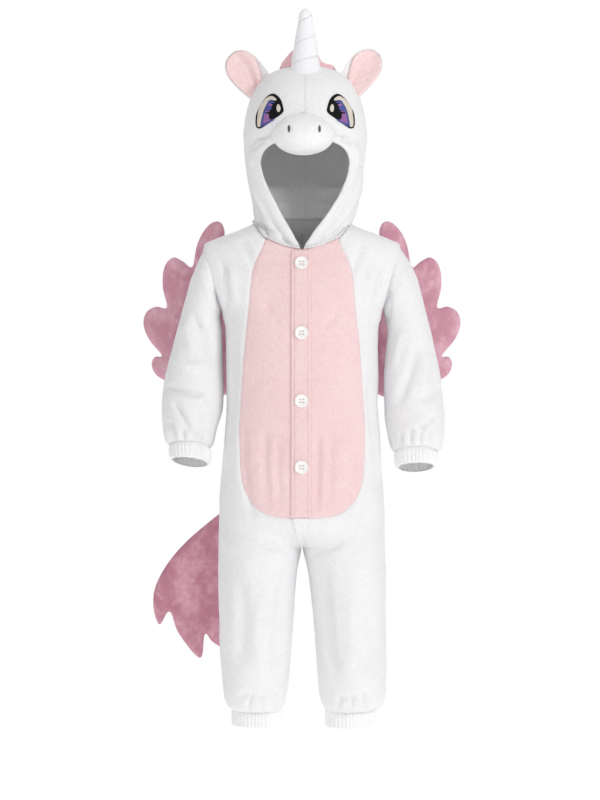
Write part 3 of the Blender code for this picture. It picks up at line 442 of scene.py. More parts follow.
def belly_shape(p):
    down = np.clip((BELLY_ROUND - p[:, 2]) / (BELLY_ROUND - BELLY_END), 0, None)
    return 1 - (np.abs(p[:, 0]) / BELLY_WIDTH(p[:, 2])) ** 3.2 - down**3.2


belly_field = unit(belly_shape)


def arm_field(side):
    rise = np.array([ARM_TOP[0] - ARM_BOTTOM[0], ARM_TOP[1] - ARM_BOTTOM[1]])
    rise /= np.hypot(*rise)

    def field(p):
        across, up = side * p[:, 0] - ARM_BOTTOM[0], p[:, 2] - ARM_BOTTOM[1]
        return np.minimum(across * rise[1] - up * rise[0], up + 0.013)

    return field


def face_field(p):
    """Metres inside the face opening."""
    x = p[:, 0] - HOOD_CENTRE * ease((p[:, 2] + 0.02) / 0.08)
    wide, high, square = FACE_ARCH
    across, up = x / wide, (p[:, 2] - FACE_WIDEST) / high
    power = (np.abs(across) ** square + np.abs(up) ** square) ** (1 / square)
    top = (1 - power) / np.maximum(np.hypot(across, up) / wide * 1.25, 1e-3)
    lean = (FACE(p[:, 2] + 1e-3) - FACE(p[:, 2] - 1e-3)) / 2e-3
    sides = (FACE(p[:, 2]) - np.abs(x)) / np.sqrt(1 + lean * lean)
    return np.where(p[:, 1] > 0, -0.05, np.where(p[:, 2] > FACE_WIDEST, top, sides))


# ---- cloth ----

class Cloth:
    """Cloth cut in its form's own turn and height, then shaped. Each cut is a seam or an open edge."""

    def __init__(self, form, outward, us, vs, wrap=False, pole=None):
        self.form, self.outward, self.wrap, self.pole = form, outward, wrap, pole
        self.ends = (us[0], us[-1])
        self.mesh = bmesh.new()
        wide, high = len(us) - 1, len(vs) - 1
        bmesh.ops.create_grid(self.mesh, x_segments=wide, y_segments=high, size=1)
        for vert in self.mesh.verts:
            vert.co = (us[round((vert.co.x + 1) / 2 * wide)], vs[round((vert.co.y + 1) / 2 * high)], 0.0)

    def flat(self):
        return np.array([vert.co[:2] for vert in self.mesh.verts])

    def points(self):
        flat = self.flat()
        return self.form(flat[:, 0], flat[:, 1])

    def cut(self, field):
        """Cuts along the field's zero line and keeps the part above it."""
        self.mesh.verts.index_update()
        values = field(self.points())
        values[np.abs(values) < 2e-6] = 0.0
        edges = [e for e in self.mesh.edges if values[e.verts[0].index] * values[e.verts[1].index] < 0]
        value = {vert: values[vert.index] for vert in self.mesh.verts}
        if edges:
            pairs = [sorted(edge.verts, key=lambda v: value[v]) for edge in edges]
            low = np.array([pair[0].co[:2] for pair in pairs])
            high = np.array([pair[1].co[:2] for pair in pairs])

            def along(share):
                flat = low + (high - low) * share[:, None]
                return field(self.form(flat[:, 0], flat[:, 1]))

            shares = root(along, np.zeros(len(edges)), np.ones(len(edges)), 18)
            for edge, pair, share, a, b in zip(edges, pairs, shares, low, high):
                _, made = bmesh.utils.edge_split(edge, pair[0], min(max(float(share), 0.01), 0.99))
                made.co = (*(a + (b - a) * share), 0.0)
                value[made] = 0.0
        bmesh.ops.connect_verts(self.mesh, verts=[v for v in self.mesh.verts if value[v] == 0.0])
        gone = [face for face in self.mesh.faces if sum(value[v] for v in face.verts) < 0]
        bmesh.ops.delete(self.mesh, geom=gone, context="FACES")
        return self

    def keep_largest(self):
        left, pieces = set(self.mesh.faces), []
        while left:
            piece, edge = [], [left.pop()]
            while edge:
                face = edge.pop()
                piece.append(face)
                near = {f for e in face.edges for f in e.link_faces} & left
                left -= near
                edge.extend(near)
            pieces.append(piece)
        pieces.sort(key=len)
        bmesh.ops.delete(self.mesh, geom=[f for piece in pieces[:-1] for f in piece], context="FACES")

    def frame(self):
        """Points and outward normals."""
        flat = self.flat()
        u, v, step = flat[:, 0], flat[:, 1], 1e-3
        inset = np.clip(v, self.mesh_low + 2 * step, self.mesh_high - 2 * step)
        across = self.form(u + step, inset) - self.form(u - step, inset)
        down = self.form(u, inset + step) - self.form(u, inset - step)
        normal = np.cross(across, down)
        normal /= np.maximum(np.linalg.norm(normal, axis=1), 1e-12)[:, None]
        points = self.form(u, v)
        normal *= np.where((normal * self.outward(points)).sum(axis=1) < 0, -1, 1)[:, None]
        if self.pole is not None:
            normal[v > self.pole] = (0, 0, 1)
        return points, normal

    def shaped(self, shape):
        """Each point of the cut cloth, its outward normal and its rise."""
        self.keep_largest()
        flat = self.flat()
        self.mesh_low, self.mesh_high = flat[:, 1].min(), flat[:, 1].max()
        points, normal = self.frame()
        return points, normal, shape(points, flat)

    def make(self, name, shape, thickness=CLOTH, lift=0.0):
        """The finished piece. shape gives each point's rise off the form."""
        points, normal, rise = self.shaped(shape)
        front = points + normal * (lift + rise)[:, None]
        back = points + normal * (lift + rise - thickness)[:, None]
        return self.close(name, normal, front, back)

    def pad(self, name, shape, field, height, reach, edge=0.0008):
        """A padded piece: both faces swell from the outline to a height within a reach."""
        points, normal, rise = self.shaped(shape)
        deep = np.clip(field(points) / reach, 0, 1)
        swell = edge + (height - edge) * np.sqrt(1 - (1 - deep) ** 2)
        front, back = (points + normal * (face * swell + rise)[:, None] for face in (1, -1))
        return self.close(name, normal, front, back)

    def close(self, name, normal, front, back):
        """One closed mesh of the two faces and a wall round their border."""
        self.mesh.verts.index_update()
        flat = self.flat()
        faces = [[v.index for v in face.verts] for face in self.mesh.faces]
        first = faces[len(faces) // 2]
        a, b, c = (front[i] for i in first[:3])
        if np.cross(b - a, c - a) @ normal[first[0]] < 0:
            faces = [face[::-1] for face in faces]
        border = {}
        for face in faces:
            for i, j in zip(face, face[1:] + face[:1]):
                if border.pop((j, i), None) is None:
                    border[(i, j)] = True
        if self.wrap:
            tips = [min(abs(u - end) for end in self.ends) < 1e-9 for u in flat[:, 0]]
            border = {pair: True for pair in border if not (tips[pair[0]] and tips[pair[1]])}
        count = len(front)
        walls = [(j, i, i + count, j + count) for i, j in border]
        backs = [[i + count for i in face[::-1]] for face in faces]
        self.mesh.free()
        return to_object(name, np.concatenate([front, back]), faces + backs + walls)


def to_object(name, points, faces):
    """A smooth mesh object, with points closer than WELD joined and its faces turned outward."""
    data = bpy.data.meshes.new(name)
    data.from_pydata([tuple(p) for p in points], [], faces)
    shape = bmesh.new()
    shape.from_mesh(data)
    bmesh.ops.remove_doubles(shape, verts=shape.verts, dist=WELD)
    bmesh.ops.delete(shape, geom=[v for v in shape.verts if not v.link_faces], context="VERTS")
    if shape.calc_volume(signed=True) < 0:
        bmesh.ops.reverse_faces(shape, faces=shape.faces)
    shape.to_mesh(data)
    shape.free()
    data.shade_smooth()
    made = bpy.data.objects.new(name, data)
    bpy.context.scene.collection.objects.link(made)
    return made


def creases(points, folds):
    """The rise of listed folds. Each is a line, which way it faces, its width and its height."""
    rise = np.zeros(len(points))
    for line, facing, width, height in folds:
        far, place = line_distance(points[:, 0], points[:, 2], smooth_loop(line, 6, closed=False))
        taper = ease(np.minimum(place, 1 - place) * 3.2 + 0.02)
        toward = ease(0.5 + points[:, 1] * facing / 0.03)
        edge = (far / width) ** 2
        rise += 1.75 * height * taper * toward * (1 - 0.55 * edge) * np.exp(-edge * 0.9)
    return rise


def settle(points, seed, strength=1.0):
    """The soft unevenness of thick cloth."""
    broad, small, fine = cloud(points, 0.055, seed), cloud(points, 0.022, seed + 1), cloud(points, 0.006, seed + 2)
    return strength * (0.0011 * broad + 0.0005 * small + 0.00012 * fine)


def skin(name, grid):
    """A closed skin over rows of points, each row a ring; the first and last rings are points."""
    rows, columns = grid.shape[:2]
    points = grid.reshape(-1, 3)
    faces = []
    for i in range(rows - 1):
        for j in range(columns):
            k = (j + 1) % columns
            faces.append((i * columns + j, i * columns + k, (i + 1) * columns + k, (i + 1) * columns + j))
    return to_object(name, points, faces)


# ---- finishes ----

class Value:
    """A number on its way through a finish. Sums on it add Math nodes."""

    def __init__(self, finish, socket):
        self.finish, self.socket = finish, socket

    def sum(self, operation, other, reverse=False):
        pair = (other, self) if reverse else (self, other)
        return self.finish.node("ShaderNodeMath", {"operation": operation}, dict(enumerate(pair)))

    def __add__(self, other):
        return self.sum("ADD", other)

    def __sub__(self, other):
        return self.sum("SUBTRACT", other)

    def __rsub__(self, other):
        return self.sum("SUBTRACT", other, True)

    def __mul__(self, other):
        return self.sum("MULTIPLY", other)

    def __pow__(self, other):
        return self.sum("POWER", other)

    __radd__, __rmul__ = __add__, __mul__


class Finish:
    """A material for one kind of cloth, thread or plastic."""

    def __init__(self, name, constants):
        self.material = bpy.data.materials.new(name)
        self.material.use_nodes = True
        self.tree = self.material.node_tree
        self.shader = self.tree.nodes["Principled BSDF"]
        for socket, value in constants.items():
            self.shader.inputs[socket].default_value = value
        self.place = self.node("ShaderNodeTexCoord", output="Object")

    def node(self, kind, settings=None, inputs=None, output=0):
        """A node of this kind: its settings first, then the values or links of its sockets."""
        made = self.tree.nodes.new(kind)
        for name, value in (settings or {}).items():
            if name == "stops":
                for stop, (at, colour) in zip(made.color_ramp.elements, value):
                    stop.position, stop.color = at, colour
            else:
                setattr(made, name, value)
        for name, value in (inputs or {}).items():
            if isinstance(value, Value):
                self.tree.links.new(value.socket, made.inputs[name])
            else:
                made.inputs[name].default_value = value
        return Value(self, made.outputs[output])

    def noise(self, size, detail=2.0, rough=0.55, stretch=(1, 1, 1), shift=0.0, warp=0.0):
        moved = {"Vector": self.place, "Scale": stretch, "Location": (shift, shift, shift)}
        place = self.node("ShaderNodeMapping", inputs=moved)
        sizes = {"Vector": place, "Scale": 1 / size, "Detail": detail, "Roughness": rough, "Distortion": warp}
        return self.node("ShaderNodeTexNoise", {"noise_dimensions": "3D"}, sizes)

    def spread(self, value, low, high):
        """The value, taken from between low and high to between 0 and 1."""
        limits = {"Value": value, "From Min": low, "From Max": high}
        return self.node("ShaderNodeMapRange", {"interpolation_type": "SMOOTHSTEP"}, limits)

    def blend(self, share, first, second):
        return self.node("ShaderNodeMix", {"data_type": "RGBA"}, {0: share, 6: first, 7: second}, 2)

    def relief(self, height, distance, strength=1.0, under=None):
        inputs = {"Strength": strength, "Distance": distance, "Height": height}
        if under is not None:
            inputs["Normal"] = under
        return self.node("ShaderNodeBump", None, inputs)

    def made(self, colour, roughness, normal):
        for socket, value in (("Base Color", colour), ("Roughness", roughness), ("Normal", normal)):
            if isinstance(value, Value):
                self.tree.links.new(value.socket, self.shader.inputs[socket])
            else:
                self.shader.inputs[socket].default_value = value
        return self.material


def tone(red, green, blue):
    """A colour from its usual 0 to 255 numbers."""
    parts = [value / 255 for value in (red, green, blue)]
    return (*(p / 12.92 if p <= 0.04045 else ((p + 0.055) / 1.055) ** 2.4 for p in parts), 1.0)


def fleece(name, light, shade, depth=0.0005, nap=0.0013, sheen=0.25):
    """Brushed fleece: soft nap, faint clumps and a little unevenness of colour."""
    cloth = Finish(name, {"Sheen Weight": sheen, "Sheen Roughness": 0.55, "Specular IOR Level": 0.12})
    patches, clumps = cloth.noise(0.045, 3, 0.6), cloth.noise(0.005, 3, 0.6, shift=3.0)
    hairs = cloth.noise(nap, 3, 0.7, (1, 1, 0.55), shift=7.0)
    tint = cloth.spread(patches * 0.25 + clumps * 0.40 + hairs * 0.35, 0.30, 0.66)
    first = cloth.relief(clumps, depth * 2.2, 0.75)
    nap_relief = cloth.relief(hairs, depth, 0.9, first)
    return cloth.made(cloth.blend(tint, shade, light), 0.88 + hairs * 0.12, nap_relief)


def velvet(name, light, deep, middle):
    """Short crushed velvet: the pile lies in patches, some darker and some paler."""
    sheen = {"Sheen Weight": 0.45, "Sheen Roughness": 0.35, "Sheen Tint": light}
    cloth = Finish(name, {"Specular IOR Level": 0.2, **sheen})
    patches = cloth.noise(0.038, 2.5, 0.5, (1.1, 1.1, 0.9), warp=0.6)
    small = cloth.noise(0.010, 2, 0.6, (1.2, 1.2, 0.9), shift=5.0, warp=0.4)
    hairs = cloth.noise(0.0011, 2, 0.6, (1, 1, 0.4), shift=9.0)
    lie = cloth.spread(patches * 0.72 + small * 0.28, 0.38, 0.66)
    base = cloth.blend(lie, deep, middle)
    tips = cloth.blend(cloth.spread(patches * 0.35 + small * 0.4 + hairs * 0.25, 0.52, 0.72), base, light)
    under = cloth.relief(lie, 0.0009, 0.7)
    return cloth.made(tips, 0.75 + hairs * 0.2, cloth.relief(hairs, 0.0004, 0.8, under))


def thread_fill(name, light, deep, lean=0.6, gloss=0.42, sheen=0.1, specular=0.55):
    """Machine satin stitch: close slanting rows of shiny thread."""
    work = Finish(name, {"Specular IOR Level": specular, "Sheen Weight": sheen})
    place = work.node("ShaderNodeMapping", inputs={"Vector": work.place, "Rotation": (0, lean, 0)})
    bands = {"Vector": place, "Scale": 300.0, "Distortion": 1.2, "Detail": 1.5, "Detail Scale": 2.0}
    rows = work.node("ShaderNodeTexWave", {"wave_type": "BANDS", "bands_direction": "Z"}, bands, 1)
    worn = work.noise(0.004, 2)
    colour = work.blend(work.spread(rows * 0.6 + worn * 0.4, 0.15, 0.85), deep, light)
    return work.made(colour, gloss + worn * 0.2, work.relief(rows, 0.00035, 0.8))


def plastic(name, light, shade):
    """Moulded button plastic, faintly cloudy."""
    stuff = Finish(name, {"Coat Weight": 0.35, "Coat Roughness": 0.12, "Specular IOR Level": 0.5})
    clouds, wear = stuff.noise(0.006, 2, warp=0.6), stuff.noise(0.0012, 2, shift=4.0)
    return stuff.made(stuff.blend(clouds, shade, light), 0.22 + wear * 0.16, stuff.relief(wear, 0.00006, 0.5))


WHITE = fleece("white fleece", tone(246, 245, 246), tone(236, 235, 237), depth=0.0008)
BELLY = fleece("pink fleece", tone(249, 221, 221), tone(241, 206, 207), depth=0.0008)
CUFF = fleece("cuff fleece", tone(250, 250, 250), tone(242, 241, 241), depth=0.0004)
PLUSH = fleece("muzzle plush", tone(248, 248, 248), tone(238, 238, 240), depth=0.0006, nap=0.0010, sheen=0.35)
HORN = fleece("horn plush", tone(248, 248, 250), tone(238, 238, 241), depth=0.0004, nap=0.0009)
EAR_PINK = fleece(
    "ear lining plush", tone(251, 228, 226), tone(241, 204, 203), depth=0.0006, nap=0.0010, sheen=0.3
)
MANE = fleece("mane plush", tone(251, 209, 212), tone(234, 180, 187), depth=0.0010, nap=0.0016, sheen=0.35)
WING_ROSE = velvet("wing velvet", tone(232, 190, 201), tone(205, 148, 165), tone(222, 174, 188))
TAIL_ROSE = velvet("tail velvet", tone(226, 180, 192), tone(192, 130, 149), tone(213, 160, 174))
BLACK_THREAD = thread_fill("black thread", tone(15, 14, 14), tone(5, 5, 5), gloss=0.6, sheen=0, specular=0.2)
CREAM_THREAD = thread_fill("cream thread", tone(240, 232, 220), tone(214, 203, 188), lean=-0.5)
BLUE_THREAD = thread_fill("blue thread", tone(74, 88, 172), tone(44, 54, 132), lean=-0.9)
PURPLE_THREAD = thread_fill("purple thread", tone(170, 112, 178), tone(130, 78, 142), lean=-0.4)
GREY_THREAD = thread_fill("grey thread", tone(104, 98, 100), tone(66, 62, 66), lean=0.2)
SEWING_THREAD = thread_fill("white thread", tone(240, 238, 236), tone(214, 210, 208), gloss=0.6)
# The horn's thread is set greyer than the horn plush: partly the thread's own tone, partly painted shade of the
# spiral groove it lies in.
HORN_THREAD_WITH_PAINTED_SHADE = thread_fill("horn thread with painted groove shade", tone(232, 230, 229), tone(206, 203, 203), gloss=0.6)
PINK_THREAD = thread_fill("pink thread", tone(240, 200, 202), tone(214, 168, 172), gloss=0.6)
BUTTON = plastic("button plastic", tone(252, 251, 249), tone(245, 243, 240))


# ---- how pieces join the frame ----

# The cut of each sheet as it shows: width and length in metres, its flat area where that is less than both
# multiplied, how it is held and what it lies on.
CUTS = {
    "back_left": ((0.235, 0.800), 0.150, "hung", ()),
    "back_right": ((0.235, 0.800), 0.150, "hung", ()),
    "front_left": ((0.225, 0.790), 0.106, "hung", ()),
    "front_right": ((0.225, 0.790), 0.106, "hung", ()),
    "belly_left": ((0.112, 0.450), 0.041, "hung", ()),
    "belly_right": ((0.112, 0.450), 0.041, "hung", ()),
    "button_band": ((0.0315, 0.430), None, "laid", ("belly_left", "belly_right")),
    "button_band_end": ((0.027, 0.072), 0.0012, "laid", ("front_left", "front_right")),
    "sleeve_left": ((0.305, 0.335), 0.081, "hung", ()),
    "sleeve_right": ((0.305, 0.325), 0.077, "hung", ()),
    "sleeve_cuff_left": ((0.235, 0.029), None, "gathered", ()),
    "sleeve_cuff_right": ((0.235, 0.029), None, "gathered", ()),
    "leg_cuff_left": ((0.275, 0.034), None, "gathered", ()),
    "leg_cuff_right": ((0.275, 0.034), None, "gathered", ()),
    "hood_front": ((0.345, 0.330), 0.080, "hung", ()),
    "hood_back_left": ((0.160, 0.260), 0.036, "hung", ()),
    "hood_back_right": ((0.160, 0.260), 0.036, "hung", ()),
}
PADS = {
    "muzzle": 0.8, "horn": 0.9, "mane": 0.6, "wing_left": 0.5, "wing_right": 0.5, "tail": 0.5,
    "ear_left": 0.3, "ear_right": 0.3, "ear_lining_left": 0.3, "ear_lining_right": 0.3,
}


def add(piece, finish, node=None):
    piece.data.materials.clear()
    piece.data.materials.append(finish)
    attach(piece, "root")
    if node:
        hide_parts(node)
    node in CUTS
    node in PADS
    return piece


def hand(side):
    return "right" if side < 0 else "left"


# ---- the rise of the cloth, the same for all that lies on it ----

ARMHOLE_LIFT = 0.0034
BODY_FOLDS = [
    # Front, from the armholes down. Each: line, facing, width, height.
    ([(-0.131, -0.038), (-0.122, -0.056), (-0.120, -0.092), (-0.121, -0.125)], -1, 0.0045, -0.0028),
    ([(0.128, -0.040), (0.121, -0.070), (0.120, -0.110)], -1, 0.0045, -0.0026),
    ([(-0.112, -0.045), (-0.108, -0.080), (-0.104, -0.120)], -1, 0.008, 0.0022),
    ([(0.112, -0.045), (0.106, -0.080), (0.104, -0.125)], -1, 0.008, 0.0022),
    ([(-0.100, -0.005), (-0.085, -0.030), (-0.072, -0.062)], -1, 0.007, -0.0022),
    ([(0.100, -0.005), (0.088, -0.032), (0.078, -0.066)], -1, 0.007, -0.0022),
    ([(-0.112, -0.16), (-0.108, -0.22), (-0.114, -0.30), (-0.118, -0.38)], -1, 0.009, -0.0022),
    ([(0.112, -0.20), (0.108, -0.26), (0.116, -0.34), (0.122, -0.44)], -1, 0.008, -0.0024),
    ([(-0.090, -0.292), (-0.091, -0.34), (-0.086, -0.40), (-0.074, -0.46)], -1, 0.008, -0.0024),
    ([(-0.057, -0.300), (-0.058, -0.36), (-0.052, -0.43)], -1, 0.008, -0.0022),
    ([(-0.037, -0.310), (-0.038, -0.37), (-0.034, -0.43)], -1, 0.007, -0.0018),
    ([(0.044, -0.295), (0.045, -0.36), (0.040, -0.43)], -1, 0.008, -0.0024),
    ([(0.024, -0.300), (0.024, -0.36), (0.022, -0.44)], -1, 0.006, -0.0018),
    ([(0.034, -0.300), (0.035, -0.37), (0.031, -0.44)], -1, 0.006, 0.0016),
    ([(0.078, -0.32), (0.080, -0.38), (0.072, -0.45)], -1, 0.009, -0.0020),
    ([(-0.060, -0.10), (-0.048, -0.125), (-0.030, -0.140)], -1, 0.008, -0.0014),
    ([(0.060, -0.11), (0.046, -0.135), (0.028, -0.150)], -1, 0.008, -0.0014),
    # Legs in front.
    ([(0.031, -0.500), (0.039, -0.60), (0.046, -0.66), (0.060, -0.705)], -1, 0.011, -0.0042),
    ([(0.098, -0.52), (0.096, -0.60), (0.104, -0.68)], -1, 0.012, -0.0024),
    ([(-0.028, -0.515), (-0.036, -0.58), (-0.040, -0.65), (-0.050, -0.70)], -1, 0.010, -0.0028),
    ([(-0.096, -0.53), (-0.094, -0.61), (-0.100, -0.69)], -1, 0.012, -0.0026),
    ([(-0.066, -0.56), (-0.070, -0.63), (-0.068, -0.70)], -1, 0.012, 0.0024),
    ([(0.074, -0.56), (0.078, -0.63), (0.080, -0.70)], -1, 0.012, 0.0024),
    ([(-0.070, -0.478), (-0.040, -0.492), (-0.012, -0.500)], -1, 0.007, -0.0024),
    ([(0.070, -0.478), (0.042, -0.492), (0.012, -0.500)], -1, 0.007, -0.0024),
    ([(-0.108, -0.735), (-0.084, -0.722), (-0.060, -0.730)], -1, 0.006, -0.0020),
    ([(0.050, -0.738), (0.080, -0.724), (0.112, -0.732)], -1, 0.006, -0.0020),
    ([(-0.084, -0.752), (-0.083, -0.738), (-0.080, -0.722)], -1, 0.004, -0.0022),
    ([(-0.064, -0.753), (-0.063, -0.738), (-0.061, -0.720)], -1, 0.004, -0.0022),
    ([(-0.040, -0.750), (-0.041, -0.735), (-0.044, -0.718)], -1, 0.004, -0.0022),
    ([(0.100, -0.752), (0.099, -0.737), (0.097, -0.718)], -1, 0.004, -0.0022),
    ([(0.057, -0.753), (0.058, -0.740), (0.060, -0.722)], -1, 0.004, -0.0022),
    ([(0.078, -0.753), (0.078, -0.738), (0.079, -0.724)], -1, 0.004, -0.0020),
    # Back: drag lines from the armholes, a sway at the waist, folds under the seat and down the legs.
    ([(-0.118, -0.045), (-0.098, -0.085), (-0.080, -0.13)], 1, 0.009, -0.0026),
    ([(0.118, -0.045), (0.098, -0.085), (0.080, -0.13)], 1, 0.009, -0.0026),
    ([(-0.105, -0.215), (-0.060, -0.232), (-0.018, -0.228)], 1, 0.010, -0.0026),
    ([(0.105, -0.222), (0.055, -0.240), (0.016, -0.232)], 1, 0.010, -0.0026),
    ([(-0.105, -0.262), (-0.060, -0.276), (-0.022, -0.270)], 1, 0.010, -0.0020),
    ([(0.100, -0.268), (0.060, -0.280), (0.024, -0.272)], 1, 0.010, -0.0020),
    ([(-0.112, -0.475), (-0.070, -0.500), (-0.020, -0.497)], 1, 0.010, -0.0036),
    ([(0.112, -0.475), (0.070, -0.500), (0.020, -0.497)], 1, 0.010, -0.0036),
    ([(-0.100, -0.525), (-0.062, -0.540), (-0.026, -0.532)], 1, 0.009, -0.0022),
    ([(0.100, -0.528), (0.066, -0.542), (0.028, -0.534)], 1, 0.009, -0.0022),
    ([(-0.052, -0.56), (-0.056, -0.63), (-0.052, -0.70)], 1, 0.011, -0.0030),
    ([(0.054, -0.56), (0.060, -0.63), (0.058, -0.70)], 1, 0.011, -0.0030),
    ([(-0.096, -0.58), (-0.094, -0.65), (-0.098, -0.71)], 1, 0.011, -0.0024),
    ([(0.100, -0.58), (0.098, -0.65), (0.102, -0.71)], 1, 0.011, -0.0024),
]


def body_rise(points):
    """How far the body's cloth stands off its form."""
    arm = np.maximum(arm_field(1)(points), arm_field(-1)(points))
    by_neck = ease(-neck_field(points) / 0.014)
    calm = by_neck * ease(-arm / 0.012)
    rise = (settle(points, 11) + creases(points, BODY_FOLDS)) * calm
    rise = rise + ARMHOLE_LIFT * bump(np.minimum(arm, 0), 0.010) * by_neck
    ankle = np.clip(1 - (points[:, 2] - ANKLE) / 0.016, 0, 1)
    return rise * (1 - ankle) - 0.0036 * ankle**2


def seam_rise(points, *fields):
    """The valley where two panels meet."""
    fall = np.zeros(len(points))
    for field in fields:
        fall = np.maximum(fall, np.clip(1 - np.abs(field(points)) / 0.0055, 0, 1) ** 2)
    return -0.0016 * fall


# ---- body, belly and button band ----

TUCK = 0.0045  # how far cloth runs on past a seam


def tuck(over):
    """The fall of cloth at a seam, and of its edge that runs on under; over is metres past the seam."""
    before = 0.0005 * np.clip(1 + over / 0.0050, 0, 1) ** 2
    return -np.where(over < 0, before, 0.0005 + 0.0022 * ease(over / 0.0022))


def body_fields(side):
    """The body's cloth runs on a little past the neck seam and the armhole, tucked under."""
    arm = arm_field(side)
    return (lambda p: TUCK / 2 - neck_field(p)), (lambda p: TUCK - arm(p))


def tucked(side):
    arm = arm_field(side)
    return lambda points: np.minimum(tuck(neck_field(points)), tuck(arm(points)))


def body_cloth(side, facing):
    turns = facing * np.linspace(0, PI, 65)
    trunk, fork, legs = (BODY_TOP, -0.43, 140), (-0.43, -0.50, 34), (-0.50, ANKLE, 84)
    heights = np.concatenate([np.linspace(*trunk), np.linspace(*fork)[1:], np.linspace(*legs)[1:]])
    neck, arm = body_fields(side)
    return Cloth(body_form(side), body_outward(side), turns, heights).cut(neck).cut(arm)


def body_pieces():
    for side in (-1, 1):
        under = tucked(side)

        def shape(*seams, under=under):
            return lambda points, flat: body_rise(points) + seam_rise(points, *seams) + under(points)

        back, front, belly = (part + hand(side) for part in ("back_", "front_", "belly_"))
        plain = shape(side_seam)
        cloth = body_cloth(side, 1).make(back, lambda p, f, plain=plain: plain(p, f) + centre_back(p))
        add(cloth, WHITE, back)
        cloth = body_cloth(side, -1).cut(lambda p: -belly_field(p))
        add(cloth.make(front, shape(belly_field, side_seam)), WHITE, front)
        cloth = body_cloth(side, -1).cut(belly_field)
        add(cloth.make(belly, shape(belly_field)), BELLY, belly)


def side_seam(points):
    """The seam that joins front to back, down the side of the body and both sides of each leg."""
    return np.abs(points[:, 1]) + np.where(points[:, 2] > -0.105, 0.05, 0.0)


def centre_back(points):
    near = np.where(points[:, 2] > CROTCH, np.abs(points[:, 0]), 1.0)
    return -0.0012 * np.clip(1 - near / 0.005, 0, 1) ** 2


def front_depth(x, z):
    """How far forward the body lies near its centre line."""
    form = body_form(1)
    low, high = np.zeros(len(x)), np.full(len(x), PI * 0.6)
    turn = -PI + root(lambda t: form(-PI + t, z)[:, 0] - np.abs(x), low, high, 24)
    return form(turn, z)[:, 1]


def laid_on_front(u, v):
    return stack(u, front_depth(u, v), v)


def forward(points):
    return stack(np.zeros(len(points)), -np.ones(len(points)), np.zeros(len(points)))


def band_edges(points):
    """The band's soft rolled edges, and the line of stitches beside each."""
    left, right = points[:, 0] - BAND_LEFT, BAND_RIGHT - points[:, 0]
    rows = bump(left - BAND_STITCHES[0], 0.0016) + bump(right - BAND_STITCHES[1], 0.0016)
    rounded = np.clip(1 - np.minimum(left, right) / 0.0035, 0, 1) ** 2
    return 0.0006 - 0.0014 * rounded - 0.0007 * rows


def band_pieces():
    across = np.linspace(BAND_LEFT, BAND_RIGHT, 23)
    down = np.linspace(0.0, BAND_END, 150)

    def top(points):
        corner = np.clip((BAND_LEFT + 0.010 - points[:, 0]) / 0.010, 0, 1)
        return -neck_field(points) - 0.0022 - 0.0085 * (1 - np.sqrt(1 - corner**2))

    def rise(points, flat):
        puckers = 0.0007 * np.sin(points[:, 2] / 0.0095 + 3 * cloud(points, 0.05, 5)) * cloud(points, 0.03, 8)
        end = np.clip(1 - (points[:, 2] - BAND_END) / 0.004, 0, 1) ** 2
        return body_rise(points) + band_edges(points) + puckers - 0.0012 * end

    band = Cloth(laid_on_front, forward, across, down).cut(top)
    band = band.make("button_band", rise, thickness=0.0026, lift=0.0030)
    add(band, BELLY, "button_band")

    def tail(u, v):
        share = (v - BAND_TAIL_END) / (BAND_END - BAND_TAIL_END)
        return laid_on_front(u * (0.22 + 0.66 * share), v)

    across, down = np.linspace(BAND_LEFT, BAND_RIGHT, 15), np.linspace(BAND_END - 0.0003, BAND_TAIL_END, 24)
    end = Cloth(tail, forward, across, down)
    end = end.make("button_band_end", lambda p, f: body_rise(p) - 0.0008, thickness=0.0024, lift=0.0030)
    add(end, WHITE, "button_band_end")


def on_front(x, z, lift):
    """A point on the front of the body and the way it faces."""
    step = 0.002
    x, z = np.array([x] * 3), np.array([z, z + step, z - step])
    points = laid_on_front(x, z)
    up = points[1] - points[2]
    up /= np.linalg.norm(up)
    out = np.cross(up, (1, 0, 0)) * -1
    out *= 1 if out[1] < 0 else -1
    return points[0] + out * (lift + body_rise(points[:1])[0]), out, up


def button(number, z):
    """A shirt button: a dished face inside a round rim, four holes and the thread through them."""
    line = smooth_loop(BUTTON_PROFILE, 4, closed=False)
    turns = np.arange(64) * 2 * PI / 64
    centre, out, up = on_front(-0.001, z, 0.0042)
    right = np.array((1.0, 0, 0))

    def place(x, y, high):
        return centre + right * x + up * y + out * high

    grid = [[place(0, 0, 0.0)] * 64]
    grid += [[place(r * np.cos(t), r * np.sin(t), h) for t in turns] for r, h in line]
    grid += [[place(0, 0, 0.0016)] * 64]
    made = skin(f"button_{number}", np.array(grid))
    holes = bmesh.new()
    spots = [(x, y) for x in (-HOLE_OFFSET, HOLE_OFFSET) for y in (-HOLE_OFFSET, HOLE_OFFSET)]
    for x, y in spots:
        size = {"segments": 20, "radius1": BUTTON_HOLE, "radius2": BUTTON_HOLE, "depth": 0.008}
        drill = bmesh.ops.create_cone(holes, cap_ends=True, **size)
        for vert in drill["verts"]:
            vert.co = place(vert.co.x + x, vert.co.y + y, vert.co.z)
    bmesh.ops.recalc_face_normals(holes, faces=holes.faces)
    data = bpy.data.meshes.new("drill")
    holes.to_mesh(data)
    holes.free()
    drill = bpy.data.objects.new("drill", data)
    bpy.context.scene.collection.objects.link(drill)
    cut = made.modifiers.new("holes", "BOOLEAN")
    cut.operation, cut.solver, cut.object = "DIFFERENCE", "EXACT", drill
    settle_modifiers(made)
    bpy.data.objects.remove(drill)
    add(made, BUTTON, f"button_{number}")
    strands = []
    for (xa, ya), (xb, yb) in ((spots[0], spots[3]), (spots[1], spots[2])):
        for shift in (-0.00035, 0.00035):
            along = np.linspace(0, 1, 9)
            high = 0.0008 + 0.0004 * np.sin(PI * along)
            spread = zip(xa + (xb - xa) * along + shift, ya + (yb - ya) * along, high)
            strands.append([place(*spot) for spot in spread])
    return strands


